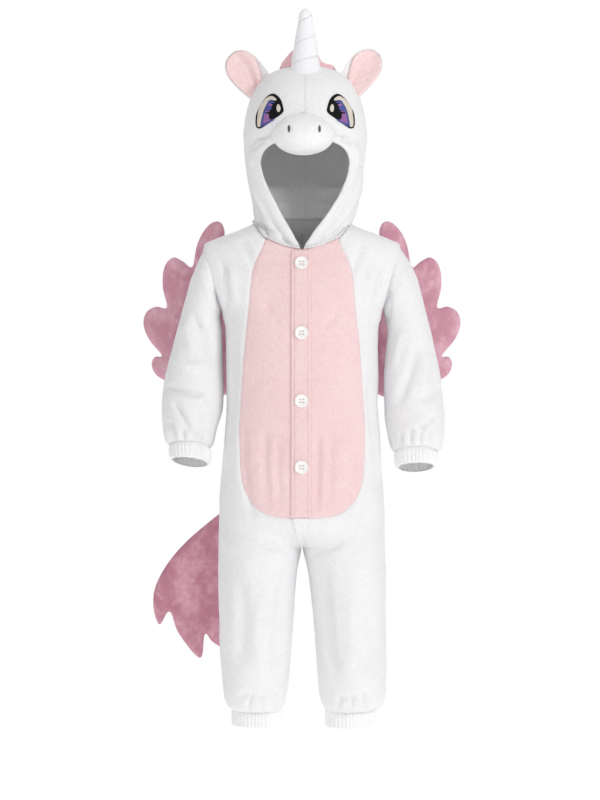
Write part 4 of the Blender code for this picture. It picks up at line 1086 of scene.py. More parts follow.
def settle_modifiers(piece):
    """Turns a piece's modifiers into its plain mesh."""
    shape = bpy.data.meshes.new_from_object(piece.evaluated_get(bpy.context.evaluated_depsgraph_get()))
    piece.modifiers.clear()
    piece.data = shape
    return piece


# ---- sleeves and cuffs ----

SLEEVE_FOLDS = {
    -1: [
        ([(-0.160, -0.030), (-0.150, -0.064), (-0.137, -0.090), (-0.126, -0.114)], -1, 0.0090, -0.0014),
        ([(-0.176, -0.120), (-0.163, -0.145), (-0.149, -0.168), (-0.144, -0.200)], -1, 0.0075, -0.0046),
        ([(-0.190, -0.130), (-0.180, -0.160), (-0.168, -0.185)], -1, 0.009, 0.0026),
        ([(-0.206, -0.185), (-0.184, -0.204), (-0.160, -0.206), (-0.142, -0.200)], -1, 0.0090, 0.0034),
        ([(-0.220, -0.238), (-0.196, -0.244), (-0.170, -0.249), (-0.150, -0.246)], -1, 0.0062, -0.0050),
        ([(-0.204, -0.262), (-0.194, -0.276), (-0.182, -0.297), (-0.176, -0.312)], -1, 0.0060, -0.0038),
        ([(-0.142, -0.256), (-0.154, -0.272), (-0.158, -0.296)], -1, 0.0065, -0.0030),
        ([(-0.212, -0.290), (-0.204, -0.306), (-0.201, -0.328)], -1, 0.0042, -0.0032),
        ([(-0.188, -0.304), (-0.186, -0.318), (-0.185, -0.333)], -1, 0.0040, -0.0032),
        ([(-0.166, -0.302), (-0.167, -0.318), (-0.168, -0.334)], -1, 0.0042, -0.0032),
        ([(-0.152, -0.306), (-0.153, -0.320), (-0.154, -0.335)], -1, 0.0038, -0.0026),
        ([(-0.176, -0.045), (-0.160, -0.080), (-0.146, -0.120)], 1, 0.007, -0.0030),
        ([(-0.198, -0.160), (-0.176, -0.178), (-0.150, -0.180)], 1, 0.008, -0.0036),
        ([(-0.214, -0.212), (-0.184, -0.226), (-0.150, -0.218)], 1, 0.007, -0.0040),
        ([(-0.210, -0.262), (-0.184, -0.274), (-0.154, -0.266)], 1, 0.007, -0.0034),
        ([(-0.196, -0.292), (-0.192, -0.316), (-0.190, -0.338)], 1, 0.0045, -0.0030),
        ([(-0.168, -0.290), (-0.168, -0.316), (-0.169, -0.340)], 1, 0.0045, -0.0030),
    ],
    1: [
        ([(0.164, -0.034), (0.154, -0.066), (0.142, -0.092), (0.132, -0.116)], -1, 0.0090, -0.0012),
        ([(0.134, -0.078), (0.137, -0.112), (0.133, -0.145)], -1, 0.0060, -0.0034),
        ([(0.184, -0.165), (0.176, -0.200), (0.162, -0.238), (0.148, -0.272)], -1, 0.0090, -0.0046),
        ([(0.200, -0.175), (0.194, -0.215), (0.186, -0.250)], -1, 0.009, 0.0026),
        ([(0.158, -0.150), (0.150, -0.185), (0.144, -0.215)], -1, 0.0070, 0.0022),
        ([(0.222, -0.236), (0.206, -0.252), (0.184, -0.262)], -1, 0.0065, -0.0032),
        ([(0.210, -0.282), (0.196, -0.296), (0.182, -0.304)], -1, 0.0062, -0.0034),
        ([(0.172, -0.300), (0.171, -0.322), (0.172, -0.342)], -1, 0.0042, -0.0034),
        ([(0.188, -0.304), (0.186, -0.324), (0.186, -0.342)], -1, 0.0042, -0.0034),
        ([(0.204, -0.302), (0.202, -0.324), (0.200, -0.342)], -1, 0.0042, -0.0032),
        ([(0.156, -0.308), (0.156, -0.326), (0.157, -0.343)], -1, 0.0038, -0.0026),
        ([(0.180, -0.045), (0.164, -0.080), (0.148, -0.120)], 1, 0.007, -0.0030),
        ([(0.202, -0.155), (0.178, -0.176), (0.152, -0.176)], 1, 0.008, -0.0036),
        ([(0.216, -0.212), (0.188, -0.228), (0.152, -0.222)], 1, 0.007, -0.0040),
        ([(0.216, -0.266), (0.186, -0.280), (0.156, -0.272)], 1, 0.007, -0.0034),
        ([(0.200, -0.298), (0.196, -0.322), (0.194, -0.346)], 1, 0.0045, -0.0030),
        ([(0.172, -0.298), (0.172, -0.322), (0.172, -0.348)], 1, 0.0045, -0.0030),
    ],
}


def sleeve_pieces():
    for side in (-1, 1):
        form, outward = sleeve_form(SLEEVES, side, True)
        last = len(SLEEVES[side]) - 1

        def shape(points, flat, side=side, last=last):
            rise = settle(points, 31 + side) + creases(points, SLEEVE_FOLDS[side])
            start = np.clip(flat[:, 1] / 0.55, 0, 1)
            end = np.clip((last - flat[:, 1]) / 0.42, 0, 1)
            gather = 0.0011 * np.sin(flat[:, 0] * 17 + 2.2 * np.sin(flat[:, 0] * 3))
            gather = gather * np.clip(1 - (last - flat[:, 1]) / 1.2, 0, 1)
            under = 0.0008 * np.clip(1 - np.abs(flat[:, 0] - PI) / 0.10, 0, 1) ** 2
            fall = (0.0006 - ARMHOLE_LIFT) * (1 - start) ** 2 + 0.0046 * (1 - end) ** 2
            return (rise + gather) * np.minimum(1, start * 1.6) * end**0.5 - fall - under

        piece = Cloth(form, outward, np.linspace(0, 2 * PI, 97), np.linspace(0, last, 118), wrap=True)
        name = "sleeve_" + hand(side)
        add(piece.make(name, shape), WHITE, name)
        form, outward = sleeve_form(SLEEVE_CUFFS, side, False)
        rise = raised_above(form, 0.0105)
        piece = Cloth(rise, outward, np.linspace(0, 2 * PI, 241), np.linspace(-0.7, 2, 25), wrap=True)
        name, puckers = "sleeve_cuff_" + hand(side), gathers(2.0, 34, side, 0.0034)
        add(piece.make(name, puckers), CUFF, name)


def raised_above(form, step):
    """The same form, run on upward past its top."""
    def longer(turn, place):
        return form(turn, np.maximum(place, 0)) + stack(0.0, 0.0, -np.minimum(place, 0) * step)

    return longer


def gathers(length, count, seed, tucked_in, lap=0.0):
    """Close upright puckers round a cuff. Its top laps the sleeve or leg, then runs up inside."""
    def shape(points, flat):
        turn, share = flat[:, 0], flat[:, 1] / length
        down = np.clip(share, 0, 1)
        above = ease(-(share + lap) / 0.10)
        sway = 0.9 * np.sin(2 * turn + seed) + 0.7 * np.sin(5 * turn + 2 * seed)
        sway = sway + 0.5 * np.sin(turn * 9 + seed)
        lean = 0.5 * np.sin(3 * turn + seed) * down
        pucker = 0.5 + 0.5 * np.sin(count * turn + sway + lean)
        depth = 0.0018 + 0.0006 * np.sin(4 * turn + 1.3 * seed)
        belly = 0.0010 * np.sin(PI * down)
        rim = np.clip(np.minimum(share + lap, 1 - share) / 0.12, 0, 1)
        outside = depth * (pucker**0.7 - 0.8) + belly - 0.0014 * (1 - rim) ** 2
        return outside * (1 - above) - tucked_in * above

    return shape


def leg_cuff_pieces():
    for side in (-1, 1):
        middle, width, top, end = LEG_CUFFS[side]

        def form(turn, share, middle=middle, width=width, top=top, end=end):
            flare = 1 + 0.02 * (2 * share - 1) ** 2
            across, through = width * flare * np.cos(turn), LEG_CUFF_DEPTH * flare * np.sin(turn)
            return stack(middle + across, through, top + (end - top) * share)

        def outward(points, middle=middle):
            return stack(points[:, 0] - middle, points[:, 1], np.zeros(len(points)))

        rise = raised_above(form, 0.021)
        piece = Cloth(rise, outward, np.linspace(0, 2 * PI, 281), np.linspace(-0.45, 1, 30), wrap=True)
        name, puckers = "leg_cuff_" + hand(side), gathers(1.0, 42, side + 2, 0.0062, lap=0.24)
        add(piece.make(name, puckers), CUFF, name)


# ---- hood ----

HOOD_FOLDS = [
    ([(-0.091, 0.168), (-0.093, 0.120), (-0.085, 0.080), (-0.070, 0.040), (-0.052, 0.018)], -1, 0.0075, -0.0040),
    ([(-0.080, 0.150), (-0.081, 0.110), (-0.072, 0.070), (-0.054, 0.034)], -1, 0.0080, 0.0024),
    ([(0.098, 0.157), (0.096, 0.118), (0.084, 0.080), (0.064, 0.042), (0.036, 0.008)], -1, 0.0075, -0.0040),
    ([(0.088, 0.150), (0.086, 0.112), (0.074, 0.074), (0.052, 0.034)], -1, 0.0080, 0.0026),
    ([(-0.064, 0.020), (-0.046, 0.004), (-0.026, -0.010), (-0.014, -0.016)], -1, 0.0048, -0.0028),
    ([(0.074, 0.030), (0.058, 0.010), (0.036, -0.004), (0.018, -0.014)], -1, 0.0048, -0.0028),
    ([(0.058, 0.158), (0.068, 0.154), (0.078, 0.160)], -1, 0.0035, -0.0022),
    ([(0.060, 0.148), (0.072, 0.146), (0.082, 0.140)], -1, 0.0035, -0.0020),
    ([(-0.052, 0.156), (-0.064, 0.152), (-0.076, 0.156)], -1, 0.0035, -0.0018),
    ([(-0.056, 0.146), (-0.068, 0.142), (-0.078, 0.134)], -1, 0.0035, -0.0018),
    ([(-0.078, 0.060), (-0.050, 0.052), (-0.016, 0.058)], 1, 0.010, -0.0034),
    ([(0.086, 0.060), (0.056, 0.050), (0.020, 0.056)], 1, 0.010, -0.0034),
    ([(-0.082, 0.094), (-0.052, 0.082), (-0.018, 0.088)], 1, 0.010, -0.0026),
    ([(0.090, 0.094), (0.060, 0.080), (0.022, 0.086)], 1, 0.010, -0.0026),
    ([(-0.085, 0.190), (-0.070, 0.150), (-0.062, 0.110)], 1, 0.010, -0.0020),
    ([(0.094, 0.190), (0.080, 0.150), (0.070, 0.110)], 1, 0.010, -0.0020),
]


def opening_roll(points):
    """The turned hem round the face opening, with its stitched groove and the roll outside it."""
    out = -face_field(points)
    out = np.where((points[:, 1] > 0) | (out < -0.004), 1.0, out)
    low = 0.35 + 0.65 * ease((0.115 - points[:, 2]) / 0.09)
    hem = 0.0016 * np.exp(-(((out - 0.0065) / 0.0055) ** 2))
    groove = -(0.0016 + 0.0022 * low) * bump(out - HEM_STITCHES, 0.0028)
    roll = 0.0042 * low * bump(out - 0.0235, 0.0065)
    second = -0.0042 * low * bump(out - 0.0345, 0.0055)
    return hem + groove + roll + second


def hood_rise(points):
    neck = np.clip(np.abs(neck_field(points)) / 0.010, 0, 1)
    calm = 0.35 + 0.65 * ease(np.abs(points[:, 0] - HOOD_CENTRE) / 0.09)
    rise = settle(points, 51, 0.8) * calm + creases(points, HOOD_FOLDS) + opening_roll(points)
    return rise * ease(neck) - 0.0012 * (1 - neck) ** 2


def back_seam(points):
    """Metres behind the seam that joins the hood's front to its two back halves."""
    return points[:, 1] - HOOD_BACK_SEAM


def crown_seam(points):
    """Metres past the seam between the two back halves, toward the wearer's left."""
    return points[:, 0] - HOOD_CENTRE


def hood_pieces():
    places = np.concatenate([np.linspace(0, 9, 106), np.linspace(9, HOOD_TOP, 27)[1:]])
    round_ = np.linspace(-PI / 2, 3 * PI / 2, 241)
    front = Cloth(hood_form, hood_outward, round_, places, wrap=True, pole=HOOD_TOP - 0.01)
    front.cut(lambda p: HOOD_BACK_SEAM - p[:, 1]).cut(lambda p: -face_field(p))

    def shape(points, flat):
        edge = np.clip(1 + face_field(points) / 0.0035, 0, 1) ** 2
        return hood_rise(points) + seam_rise(points, back_seam) - 0.0009 * edge

    def back_shape(points, flat):
        return hood_rise(points) + seam_rise(points, back_seam, crown_seam)

    pieces = [add(front.make("hood_front", shape, thickness=0.0028), WHITE, "hood_front")]
    for side in (-1, 1):
        turns = np.linspace(-0.1, PI / 2 + 0.20, 81) if side > 0 else np.linspace(PI / 2 - 0.20, PI + 0.1, 81)
        back = Cloth(hood_form, hood_outward, turns, places, pole=HOOD_TOP - 0.01)
        back.cut(back_seam).cut(lambda p, side=side: side * crown_seam(p))
        name = "hood_back_" + hand(side)
        back = back.make(name, back_shape, thickness=0.0024)
        pieces.append(add(back, WHITE, name))
    return pieces


class Surface:
    """The hood's front, kept as depths at even places and read between them."""

    def __init__(self):
        self.x, self.z = np.linspace(-0.096, 0.104, 101), np.linspace(0.06, 0.272, 107)
        x, z = np.meshgrid(self.x, self.z)
        self.y = hood_front_depth(x.ravel(), z.ravel()).reshape(x.shape)

    def __call__(self, x, z):
        i = np.clip((x - self.x[0]) / (self.x[1] - self.x[0]), 0, len(self.x) - 1.001)
        j = np.clip((z - self.z[0]) / (self.z[1] - self.z[0]), 0, len(self.z) - 1.001)
        a, b = i.astype(int), j.astype(int)
        s, t, y = i - a, j - b, self.y
        low, high = (y[row, a] * (1 - s) + y[row, a + 1] * s for row in (b, b + 1))
        return low * (1 - t) + high * t


HOOD_FACE = Surface()


def on_hood(u, v):
    return stack(u, HOOD_FACE(u, v), v)


# ---- eyes: layers of satin stitch, each an outline in the eye's own place ----
# Across counts outward from the eye's middle, height from its middle.

EYE_OUTLINE = [
    (-0.0059, 0.0350), (-0.0158, 0.0275), (-0.0211, 0.0131), (-0.0213, 0.0033), (-0.0086, -0.0066),
    (0.0058, -0.0164), (0.0139, -0.0197), (0.0190, -0.0152), (0.0206, -0.0011), (0.0192, 0.0078),
    (0.0130, 0.0203), (0.0039, 0.0311),
]
EYE_LAYERS = [
    ("cream", [
        (-0.0045, 0.0306), (0.0034, 0.0286), (0.0100, 0.0222), (0.0152, 0.0138), (0.0170, 0.0027),
        (0.0164, -0.0140), (0.0136, -0.0172), (0.0108, -0.0154), (0.0096, 0.0000), (0.0077, 0.0097),
        (0.0038, 0.0183), (-0.0014, 0.0243), (-0.0097, 0.0228), (-0.0112, 0.0253),
    ], 1),
    ("blue", [
        (0.0004, 0.0241), (-0.0081, 0.0208), (-0.0087, 0.0189), (-0.0027, 0.0193), (0.0004, 0.0141),
        (0.0048, 0.0050), (0.0058, -0.0058), (0.0061, -0.0118), (-0.0050, -0.0077), (-0.0078, -0.0060),
        (-0.0064, -0.0095), (0.0102, -0.0170), (0.0104, -0.0058), (0.0092, 0.0010), (0.0069, 0.0097),
        (0.0038, 0.0174),
    ], 1),
    ("purple", [
        (0.0021, 0.0195), (-0.0049, 0.0176), (-0.0041, 0.0145), (0.0034, 0.0152),
    ], 1),
    ("blue", [
        (0.0040, 0.0145), (-0.0037, 0.0137), (-0.0022, 0.0075), (0.0063, 0.0081),
    ], 1),
    ("purple", [
        (0.0065, 0.0068), (-0.0010, 0.0064), (-0.0006, 0.0050), (0.0069, 0.0054),
    ], 1),
    ("purple", [
        (0.0073, 0.0023), (0.0002, 0.0019), (-0.0010, -0.0048), (-0.0041, -0.0089), (0.0069, -0.0133),
        (0.0079, -0.0058),
    ], 1),
    ("cream", [
        (-0.0151, 0.0164), (-0.0180, 0.0106), (-0.0170, 0.0048), (-0.0139, 0.0041), (-0.0118, 0.0097),
        (-0.0126, 0.0152),
    ], 2),
]


def muzzle_clear(points):
    """Metres clear of the muzzle's outline, seen from the front."""
    across = (points[:, 0] - MUZZLE_PLACE[0]) / (MUZZLE_SIZE[0] + 0.002)
    up = (points[:, 2] - MUZZLE_PLACE[1]) / (MUZZLE_SIZE[1] + 0.002)
    return (np.hypot(across, up) - 1) * MUZZLE_SIZE[1]


def patch(side, outline, step, name, lift, height, swell=0.0006):
    """A raised patch of stitches on the hood, with this outline."""
    loop = smooth_loop([(HOOD_CENTRE + side * (EYE_OFFSET + x), EYE_HEIGHT + z) for x, z in outline], 8)
    low, high = loop.min(axis=0) - step, loop.max(axis=0) + step
    us, vs = np.arange(low[0], high[0] + step, step), np.arange(low[1], high[1] + step, step)

    def field(points):
        return np.minimum(inside_distance(points[:, 0], points[:, 2], loop), muzzle_clear(points) - 0.0005)

    cloth = Cloth(on_hood, forward, us, vs).cut(field)

    def shape(points, flat):
        inside = np.clip(field(points) / 0.0022, 0, 1)
        return hood_rise(points) + swell * np.sqrt(1 - (1 - inside) ** 2)

    return cloth.make(name, shape, thickness=height, lift=lift)


def eye_pieces():
    threads = {"cream": CREAM_THREAD, "blue": BLUE_THREAD, "purple": PURPLE_THREAD}
    for side in (-1, 1):
        base = patch(side, EYE_OUTLINE, 0.0014, "eye_" + hand(side), 0.0010, 0.0022, 0.0009)
        add(base, BLACK_THREAD, "eye_" + hand(side))
        for number, (thread, outline, level) in enumerate(EYE_LAYERS):
            lift = 0.0018 + 0.00025 * level
            layer = patch(side, outline, 0.0008, f"eye_{hand(side)}_{thread}_{number}", lift, 0.0012, 0.0004)
            add(layer, threads[thread])


# ---- muzzle, horn, ears, mane ----

def on_muzzle(u, v):
    z = (v - MUZZLE_PLACE[1]) / MUZZLE_SIZE[1]
    x = (u - MUZZLE_PLACE[0]) / (MUZZLE_SIZE[0] * (1 - MUZZLE_TAPER * np.maximum(0, z)))
    y = -np.sqrt(np.clip(1 - x * x - z * z, 0, None))
    return stack(u, MUZZLE_BACK + MUZZLE_SIZE[2] * y - MUZZLE_DROOP * (1 - z), v)


def muzzle_rise(points):
    up = (points[:, 2] - NOSTRIL_HEIGHT) / 1.7
    dimple = sum(bump(np.hypot(points[:, 0] - x, up), 0.0050) for x in NOSTRILS)
    front = ease((-0.100 - points[:, 1]) / 0.010)
    return 0.0008 * cloud(points, 0.020, 71) + 0.0004 * cloud(points, 0.008, 72) - 0.0016 * dimple * front


def muzzle_piece():
    bends, turns = np.linspace(0, PI, 81), np.arange(128) * 2 * PI / 128
    bend, turn = np.meshgrid(bends, turns, indexing="ij")
    x, y, z = np.sin(bend) * np.cos(turn), np.sin(bend) * np.sin(turn), np.cos(bend)
    pull = 1 - MUZZLE_TAPER * np.maximum(0, z)
    depth = MUZZLE_BACK + MUZZLE_SIZE[2] * y * np.where(y < 0, 1.0, 0.45) - MUZZLE_DROOP * (1 - z)
    grid = stack(MUZZLE_PLACE[0] + MUZZLE_SIZE[0] * x * pull, depth, MUZZLE_PLACE[1] + MUZZLE_SIZE[1] * z)
    points = grid.reshape(-1, 3)
    way = points - np.array([MUZZLE_PLACE[0], -0.085, MUZZLE_PLACE[1]])
    way /= np.linalg.norm(way, axis=1)[:, None]
    points = points + way * muzzle_rise(points)[:, None]
    behind = on_hood(points[:, 0], points[:, 2])
    hood = behind[:, 1] + np.minimum(hood_rise(behind), 0) - 0.0002
    points[:, 1] = np.minimum(points[:, 1], hood)
    piece = skin("muzzle", points.reshape(grid.shape))
    add(piece, PLUSH, "muzzle")
    for side, nx in zip((-1, 1), NOSTRILS):
        turns = np.linspace(0, 2 * PI, 41)[:-1]
        wide, tall = NOSTRIL_SIZE
        loop = stack(nx + wide * np.cos(turns), NOSTRIL_HEIGHT + tall * np.sin(turns))

        def field(p, loop=loop):
            return inside_distance(p[:, 0], p[:, 2], loop)

        us = np.linspace(nx - 0.0026, nx + 0.0026, 15)
        vs = np.linspace(NOSTRIL_HEIGHT - 0.0066, NOSTRIL_HEIGHT + 0.0066, 31)
        cloth = Cloth(on_muzzle, forward, us, vs).cut(field)

        def swell(points, flat, field=field):
            return muzzle_rise(points) + 0.0007 * np.sqrt(np.clip(field(points) / 0.0021, 0, 1))

        nostril = cloth.make("nostril_" + hand(side), swell, thickness=0.0022, lift=0.0004)
        add(nostril, GREY_THREAD)


def horn_radius(share):
    taper = HORN_RADIUS + (HORN_END - HORN_RADIUS) * share
    return taper * np.sqrt(np.clip(1 - np.clip((share - 0.9) / 0.1, 0, None) ** 2, 0, None))


def horn_piece():
    x, y, base = HORN_BASE
    tip = 1 - 0.1 * (1 - np.sin(np.linspace(0, PI / 2, 26)))
    shares = np.concatenate([[0.0], np.linspace(0.001, 0.9, 230), tip[1:]])
    share, turn = np.meshgrid(shares, np.arange(96) * 2 * PI / 96, indexing="ij")
    z = base + (HORN_TIP - base) * share
    radius = np.where(share <= 0, 0.0, horn_radius(share))
    wind = turn / (2 * PI) - (z - HORN_START) / HORN_TURN
    place = wind - np.floor(wind)
    far = np.minimum(place, 1 - place) * HORN_TURN
    fold = 0.0007 * np.sin(PI * place) ** 0.7 - 0.0019 * np.exp(-((far / 0.0012) ** 2))
    plain = stack(x + radius * np.cos(turn), y + radius * np.sin(turn), z)
    soft = 0.0005 * cloud(plain.reshape(-1, 3), 0.014, 81).reshape(z.shape)
    radius = np.where(radius > 0.002, radius + (fold + soft) * ease((0.98 - share) / 0.08), radius)
    grid = stack(x + radius * np.cos(turn), y - HORN_LEAN * share + radius * np.sin(turn), z)
    add(skin("horn", grid), HORN, "horn")
    line = []
    for turns in np.arange(0, 4.2, 1 / 60):
        z = base + 0.004 + turns * HORN_TURN
        share = (z - base) / (HORN_TIP - base)
        if share > 0.955:
            break
        angle = 2 * PI * (z + 0.0014 - HORN_START) / HORN_TURN
        radius = horn_radius(share) + 0.0001
        line.append((x + radius * np.cos(angle), y - HORN_LEAN * share + radius * np.sin(angle), z))
    stitches("horn_stitches", [line], 0.0028, 0.0019, 0.00036, HORN_THREAD_WITH_PAINTED_SHADE)


def ear_surface(side, along, across):
    root_point = np.array([HOOD_CENTRE + side * 0.0640, 0.004, 0.2315])
    reach, behind, rise = EAR_AXIS[side]
    ways = (side * reach, behind, rise), (side * rise, 0.03, -reach), (side * 0.12, -1.0, 0.0)
    axis, wide, out = (np.array(way) / np.linalg.norm(way) for way in ways)
    half = EAR_HALF[side] * (0.76 + 0.24 * np.sin(PI * np.minimum(along, 0.58) / 1.16))
    half = half * np.sqrt(np.clip(1 - np.clip((along - 0.6) / 0.4, 0, None) ** 2, 0, None))
    cup = (0.010 * across * across - 0.004) * np.minimum(1, half / 0.02)
    steps = (axis, EAR_LENGTH * along), (wide, half * across), (out, cup)
    return root_point + sum(way * step[..., None] for way, step in steps)


def ear_skin(side, name, finish, spread, offsets, dent=0.0, head_side=0.0):
    """One layer of an ear: a closed padded skin between two offsets of the ear's surface."""
    (low, high), (front, back) = spread, offsets
    shares = 1 - 0.999 * (1 - np.sin(np.linspace(0, PI / 2, 64)))
    spots = low + (high - low) * (1 - np.cos(np.linspace(0, PI, 49))) / 2
    along, across = np.meshgrid(shares, spots, indexing="ij")
    step = 1e-3
    inner = np.clip(along, 0.002, 0.985)
    near = across * 0.98
    a = ear_surface(side, inner + step, near) - ear_surface(side, inner - step, near)
    b = ear_surface(side, inner, near + step) - ear_surface(side, inner, near - step)
    normal = np.cross(a, b)
    normal /= np.linalg.norm(normal, axis=-1)[..., None]
    normal *= np.where(normal[..., 1:2] > 0, -1, 1)
    middle = (across - low) / (high - low)
    across = across - head_side * ease((along - 0.02) / 0.72) * (1 - middle)
    round_ = np.sqrt(np.clip(4 * middle * (1 - middle), 0, 1)) ** 0.5 * np.sqrt(np.clip(1 - along**10, 0, 1))
    surface = ear_surface(side, along, across)
    soft = 0.0006 * cloud(surface.reshape(-1, 3), 0.018, 91).reshape(along.shape)
    rolled = np.exp(-(((middle - 0.17) / 0.13) ** 2)) * np.clip(1.25 - along, 0, 1)
    crease = dent * bump(middle - 0.37, 0.085) * np.clip(1.15 - along, 0, 1) - 0.9 * dent * rolled
    centre = (front + back) / 2
    top = surface + normal * (centre + (front - centre) * round_ + (soft - crease) * round_)[..., None]
    under = surface + normal * (centre + (back - centre) * round_)[..., None]
    grid = np.concatenate([top, under[:, ::-1]], axis=1)
    ends = (np.broadcast_to(row.mean(axis=1, keepdims=True), row.shape) for row in (grid[:1], grid[-1:]))
    base, tip = ends
    add(skin(name, np.concatenate([base, grid, tip])), finish, name)


def ear_pieces():
    for side in (-1, 1):
        ear_skin(side, "ear_" + hand(side), WHITE, (-1.0, 1.0), (-0.0002, -0.0052))
        name, dent = "ear_lining_" + hand(side), 0.0046 if side < 0 else 0.0024
        ear_skin(side, name, EAR_PINK, (-0.34, 1.02), (0.0050, -0.0016), dent, 0.68)


def mane_line():
    behind = (11.6, 11.0, 10.4, 9.8, 9.1, 8.4, 7.6, 6.8, 6.0, 5.2, 4.4, 3.6, 3.0)
    stations = [(-PI / 2, 11.3), (-PI / 2, 11.75)] + [(PI / 2, place) for place in behind]
    return hood_form(np.array([s[0] for s in stations]), np.array([s[1] for s in stations]))


def mane_core(place, turn):
    """The mane's core: a padded roll from behind the horn, over the crown and down the back of the hood."""
    line = mane_line()
    last = len(line) - 1
    low = np.clip(place.astype(int), 0, last - 1)
    share = (place - low)[..., None]
    middle = line[low] * (1 - share) + line[low + 1] * share
    out = middle - HEAD_MIDDLE
    out /= np.linalg.norm(out, axis=-1)[..., None]
    out[..., 0] = 0
    tuft = 0.80 + 0.20 * np.abs(np.cos(PI * place / 2))
    start, end = np.minimum(1, place / 0.8), np.minimum(1, last - place)
    close = np.sqrt(np.clip(start * (2 - start), 0, None)) * np.sqrt(np.clip(end * (2 - end), 0, None))
    wide = (0.017 + 0.026 * (1 - ease((place - 0.6) / 4.5))) * tuft * close
    tall = (0.014 + 0.005 * (1 - ease(place / 4))) * tuft * close
    middle[..., 0] = HOOD_CENTRE + 0.004 * (1 - ease(place / 3))
    side = np.zeros_like(middle)
    side[..., 0] = wide * np.cos(turn)
    return middle + out * (0.002 + tall * np.sin(turn))[..., None] + side


def rest_on(points, pieces, centre):
    """Points that lie inside these pieces' outer face, moved out to it along rays from a centre."""
    sink = 0.0004
    corners, faces = [], []
    for piece in pieces:
        faces += [[len(corners) + i for i in face.vertices] for face in piece.data.polygons]
        corners += [vert.co.copy() for vert in piece.data.vertices]
    tree = BVHTree.FromPolygons(corners, faces)
    moved = points.copy()
    for i, point in enumerate(points):
        way = point - centre
        far = np.linalg.norm(way)
        way = way / max(far, 1e-9)
        hit = tree.ray_cast(Vector(centre + way * 0.25), Vector(-way))[0]
        if hit is not None:
            reach = (hit - Vector(centre)).length - sink
            if far < reach:
                moved[i] = centre + way * reach
    return moved


MANE_CREST = Line([
    (-0.050, 0.262), (-0.0376, 0.2725), (-0.030, 0.2830), (-0.0165, 0.300), (-0.006, 0.306), (0.006, 0.306),
    (0.018, 0.298), (0.027, 0.290), (0.031, 0.2815), (0.037, 0.2780), (0.0464, 0.2765), (0.0520, 0.2725),
    (0.058, 0.2640),
])


def mane_piece(hood):
    places = np.linspace(0.0, len(mane_line()) - 1, 260)
    place, turn = np.meshgrid(places, np.arange(96) * 2 * PI / 96, indexing="ij")
    grid = mane_core(place, turn)
    points = grid.reshape(-1, 3)
    spine = mane_core(places, np.full(len(places), PI / 2)) - (0, 0, 0.012)
    centre = np.repeat(spine[:, None], 96, axis=1).reshape(-1, 3)
    way = points - centre
    way /= np.maximum(np.linalg.norm(way, axis=1), 1e-9)[:, None]
    flow = place.ravel() * 2.6 + 0.9 * np.cos(turn.ravel()) * np.cos(turn.ravel())
    locks = np.abs(np.sin(flow + 0.8 * cloud(points, 0.020, 95)))
    fringe = 0.0034 * (locks**0.7 - 0.72)
    fringe = fringe + 0.0012 * cloud(points, 0.007, 96) + 0.0005 * cloud(points, 0.003, 97)
    fringe = fringe * ease(np.sin(turn.ravel()) * 1.5 + 0.8)
    ends = ease(np.minimum(place.ravel() / 0.5, (places[-1] - place.ravel()) / 0.5))
    points = points + way * (fringe * ends)[:, None]
    crown = bump(place.ravel() - 1.3, 1.1) * ease((np.sin(turn.ravel()) + 0.1) * 1.2)
    off = points[:, 0] - HOOD_CENTRE
    points[:, 0] += bump(place.ravel() - 1.3, 1.1) * np.where(off > 0, 0.24, 0.12) * off
    points[:, 2] += crown * (MANE_CREST(points[:, 0]) - points[:, 2]) * (place.ravel() < 2.6)
    points[:, 2] = np.minimum(points[:, 2], MANE_CREST(points[:, 0]))
    points = rest_on(points, hood, HEAD_MIDDLE)
    add(skin("mane", points.reshape(grid.shape)), MANE, "mane")


# ---- wings and tail ----

def padded_piece(name, outline, swell, depth, finish, seed):
    """A stuffed flat piece with this outline, lying at a depth given for each place."""
    step = 0.0026
    loop = smooth_loop(outline, 10)
    low, high = loop.min(axis=0) - step, loop.max(axis=0) + step
    us, vs = np.arange(low[0], high[0] + step, step), np.arange(low[1], high[1] + step, step)

    def form(u, v):
        return stack(u, depth(u, v), v)

    def field(p):
        return inside_distance(p[:, 0], p[:, 2], loop)

    def soft(points, flat):
        return 0.0010 * cloud(points, 0.040, seed) + 0.0005 * cloud(points, 0.014, seed + 1)

    cloth = Cloth(form, forward, us, vs).cut(field)
    add(cloth.pad(name, soft, field, *swell), finish, name)


def wing_depth(u, v):
    return WING_ROOT + WING_SWEEP * (np.abs(u) - 0.03)


def tail_depth(u, v):
    return TAIL_DEPTH + 0.05 * ease((-0.40 - v) / 0.25)


def wing_pieces():
    for side in (-1, 1):
        outline = [(side * x, z) for x, z in WING]
        padded_piece("wing_" + hand(side), outline, (0.0078, 0.010), wing_depth, WING_ROSE, 60 + side)


def tail_piece():
    padded_piece("tail", TAIL, (0.0105, 0.014), tail_depth, TAIL_ROSE, 65)


# ---- rows of stitches ----

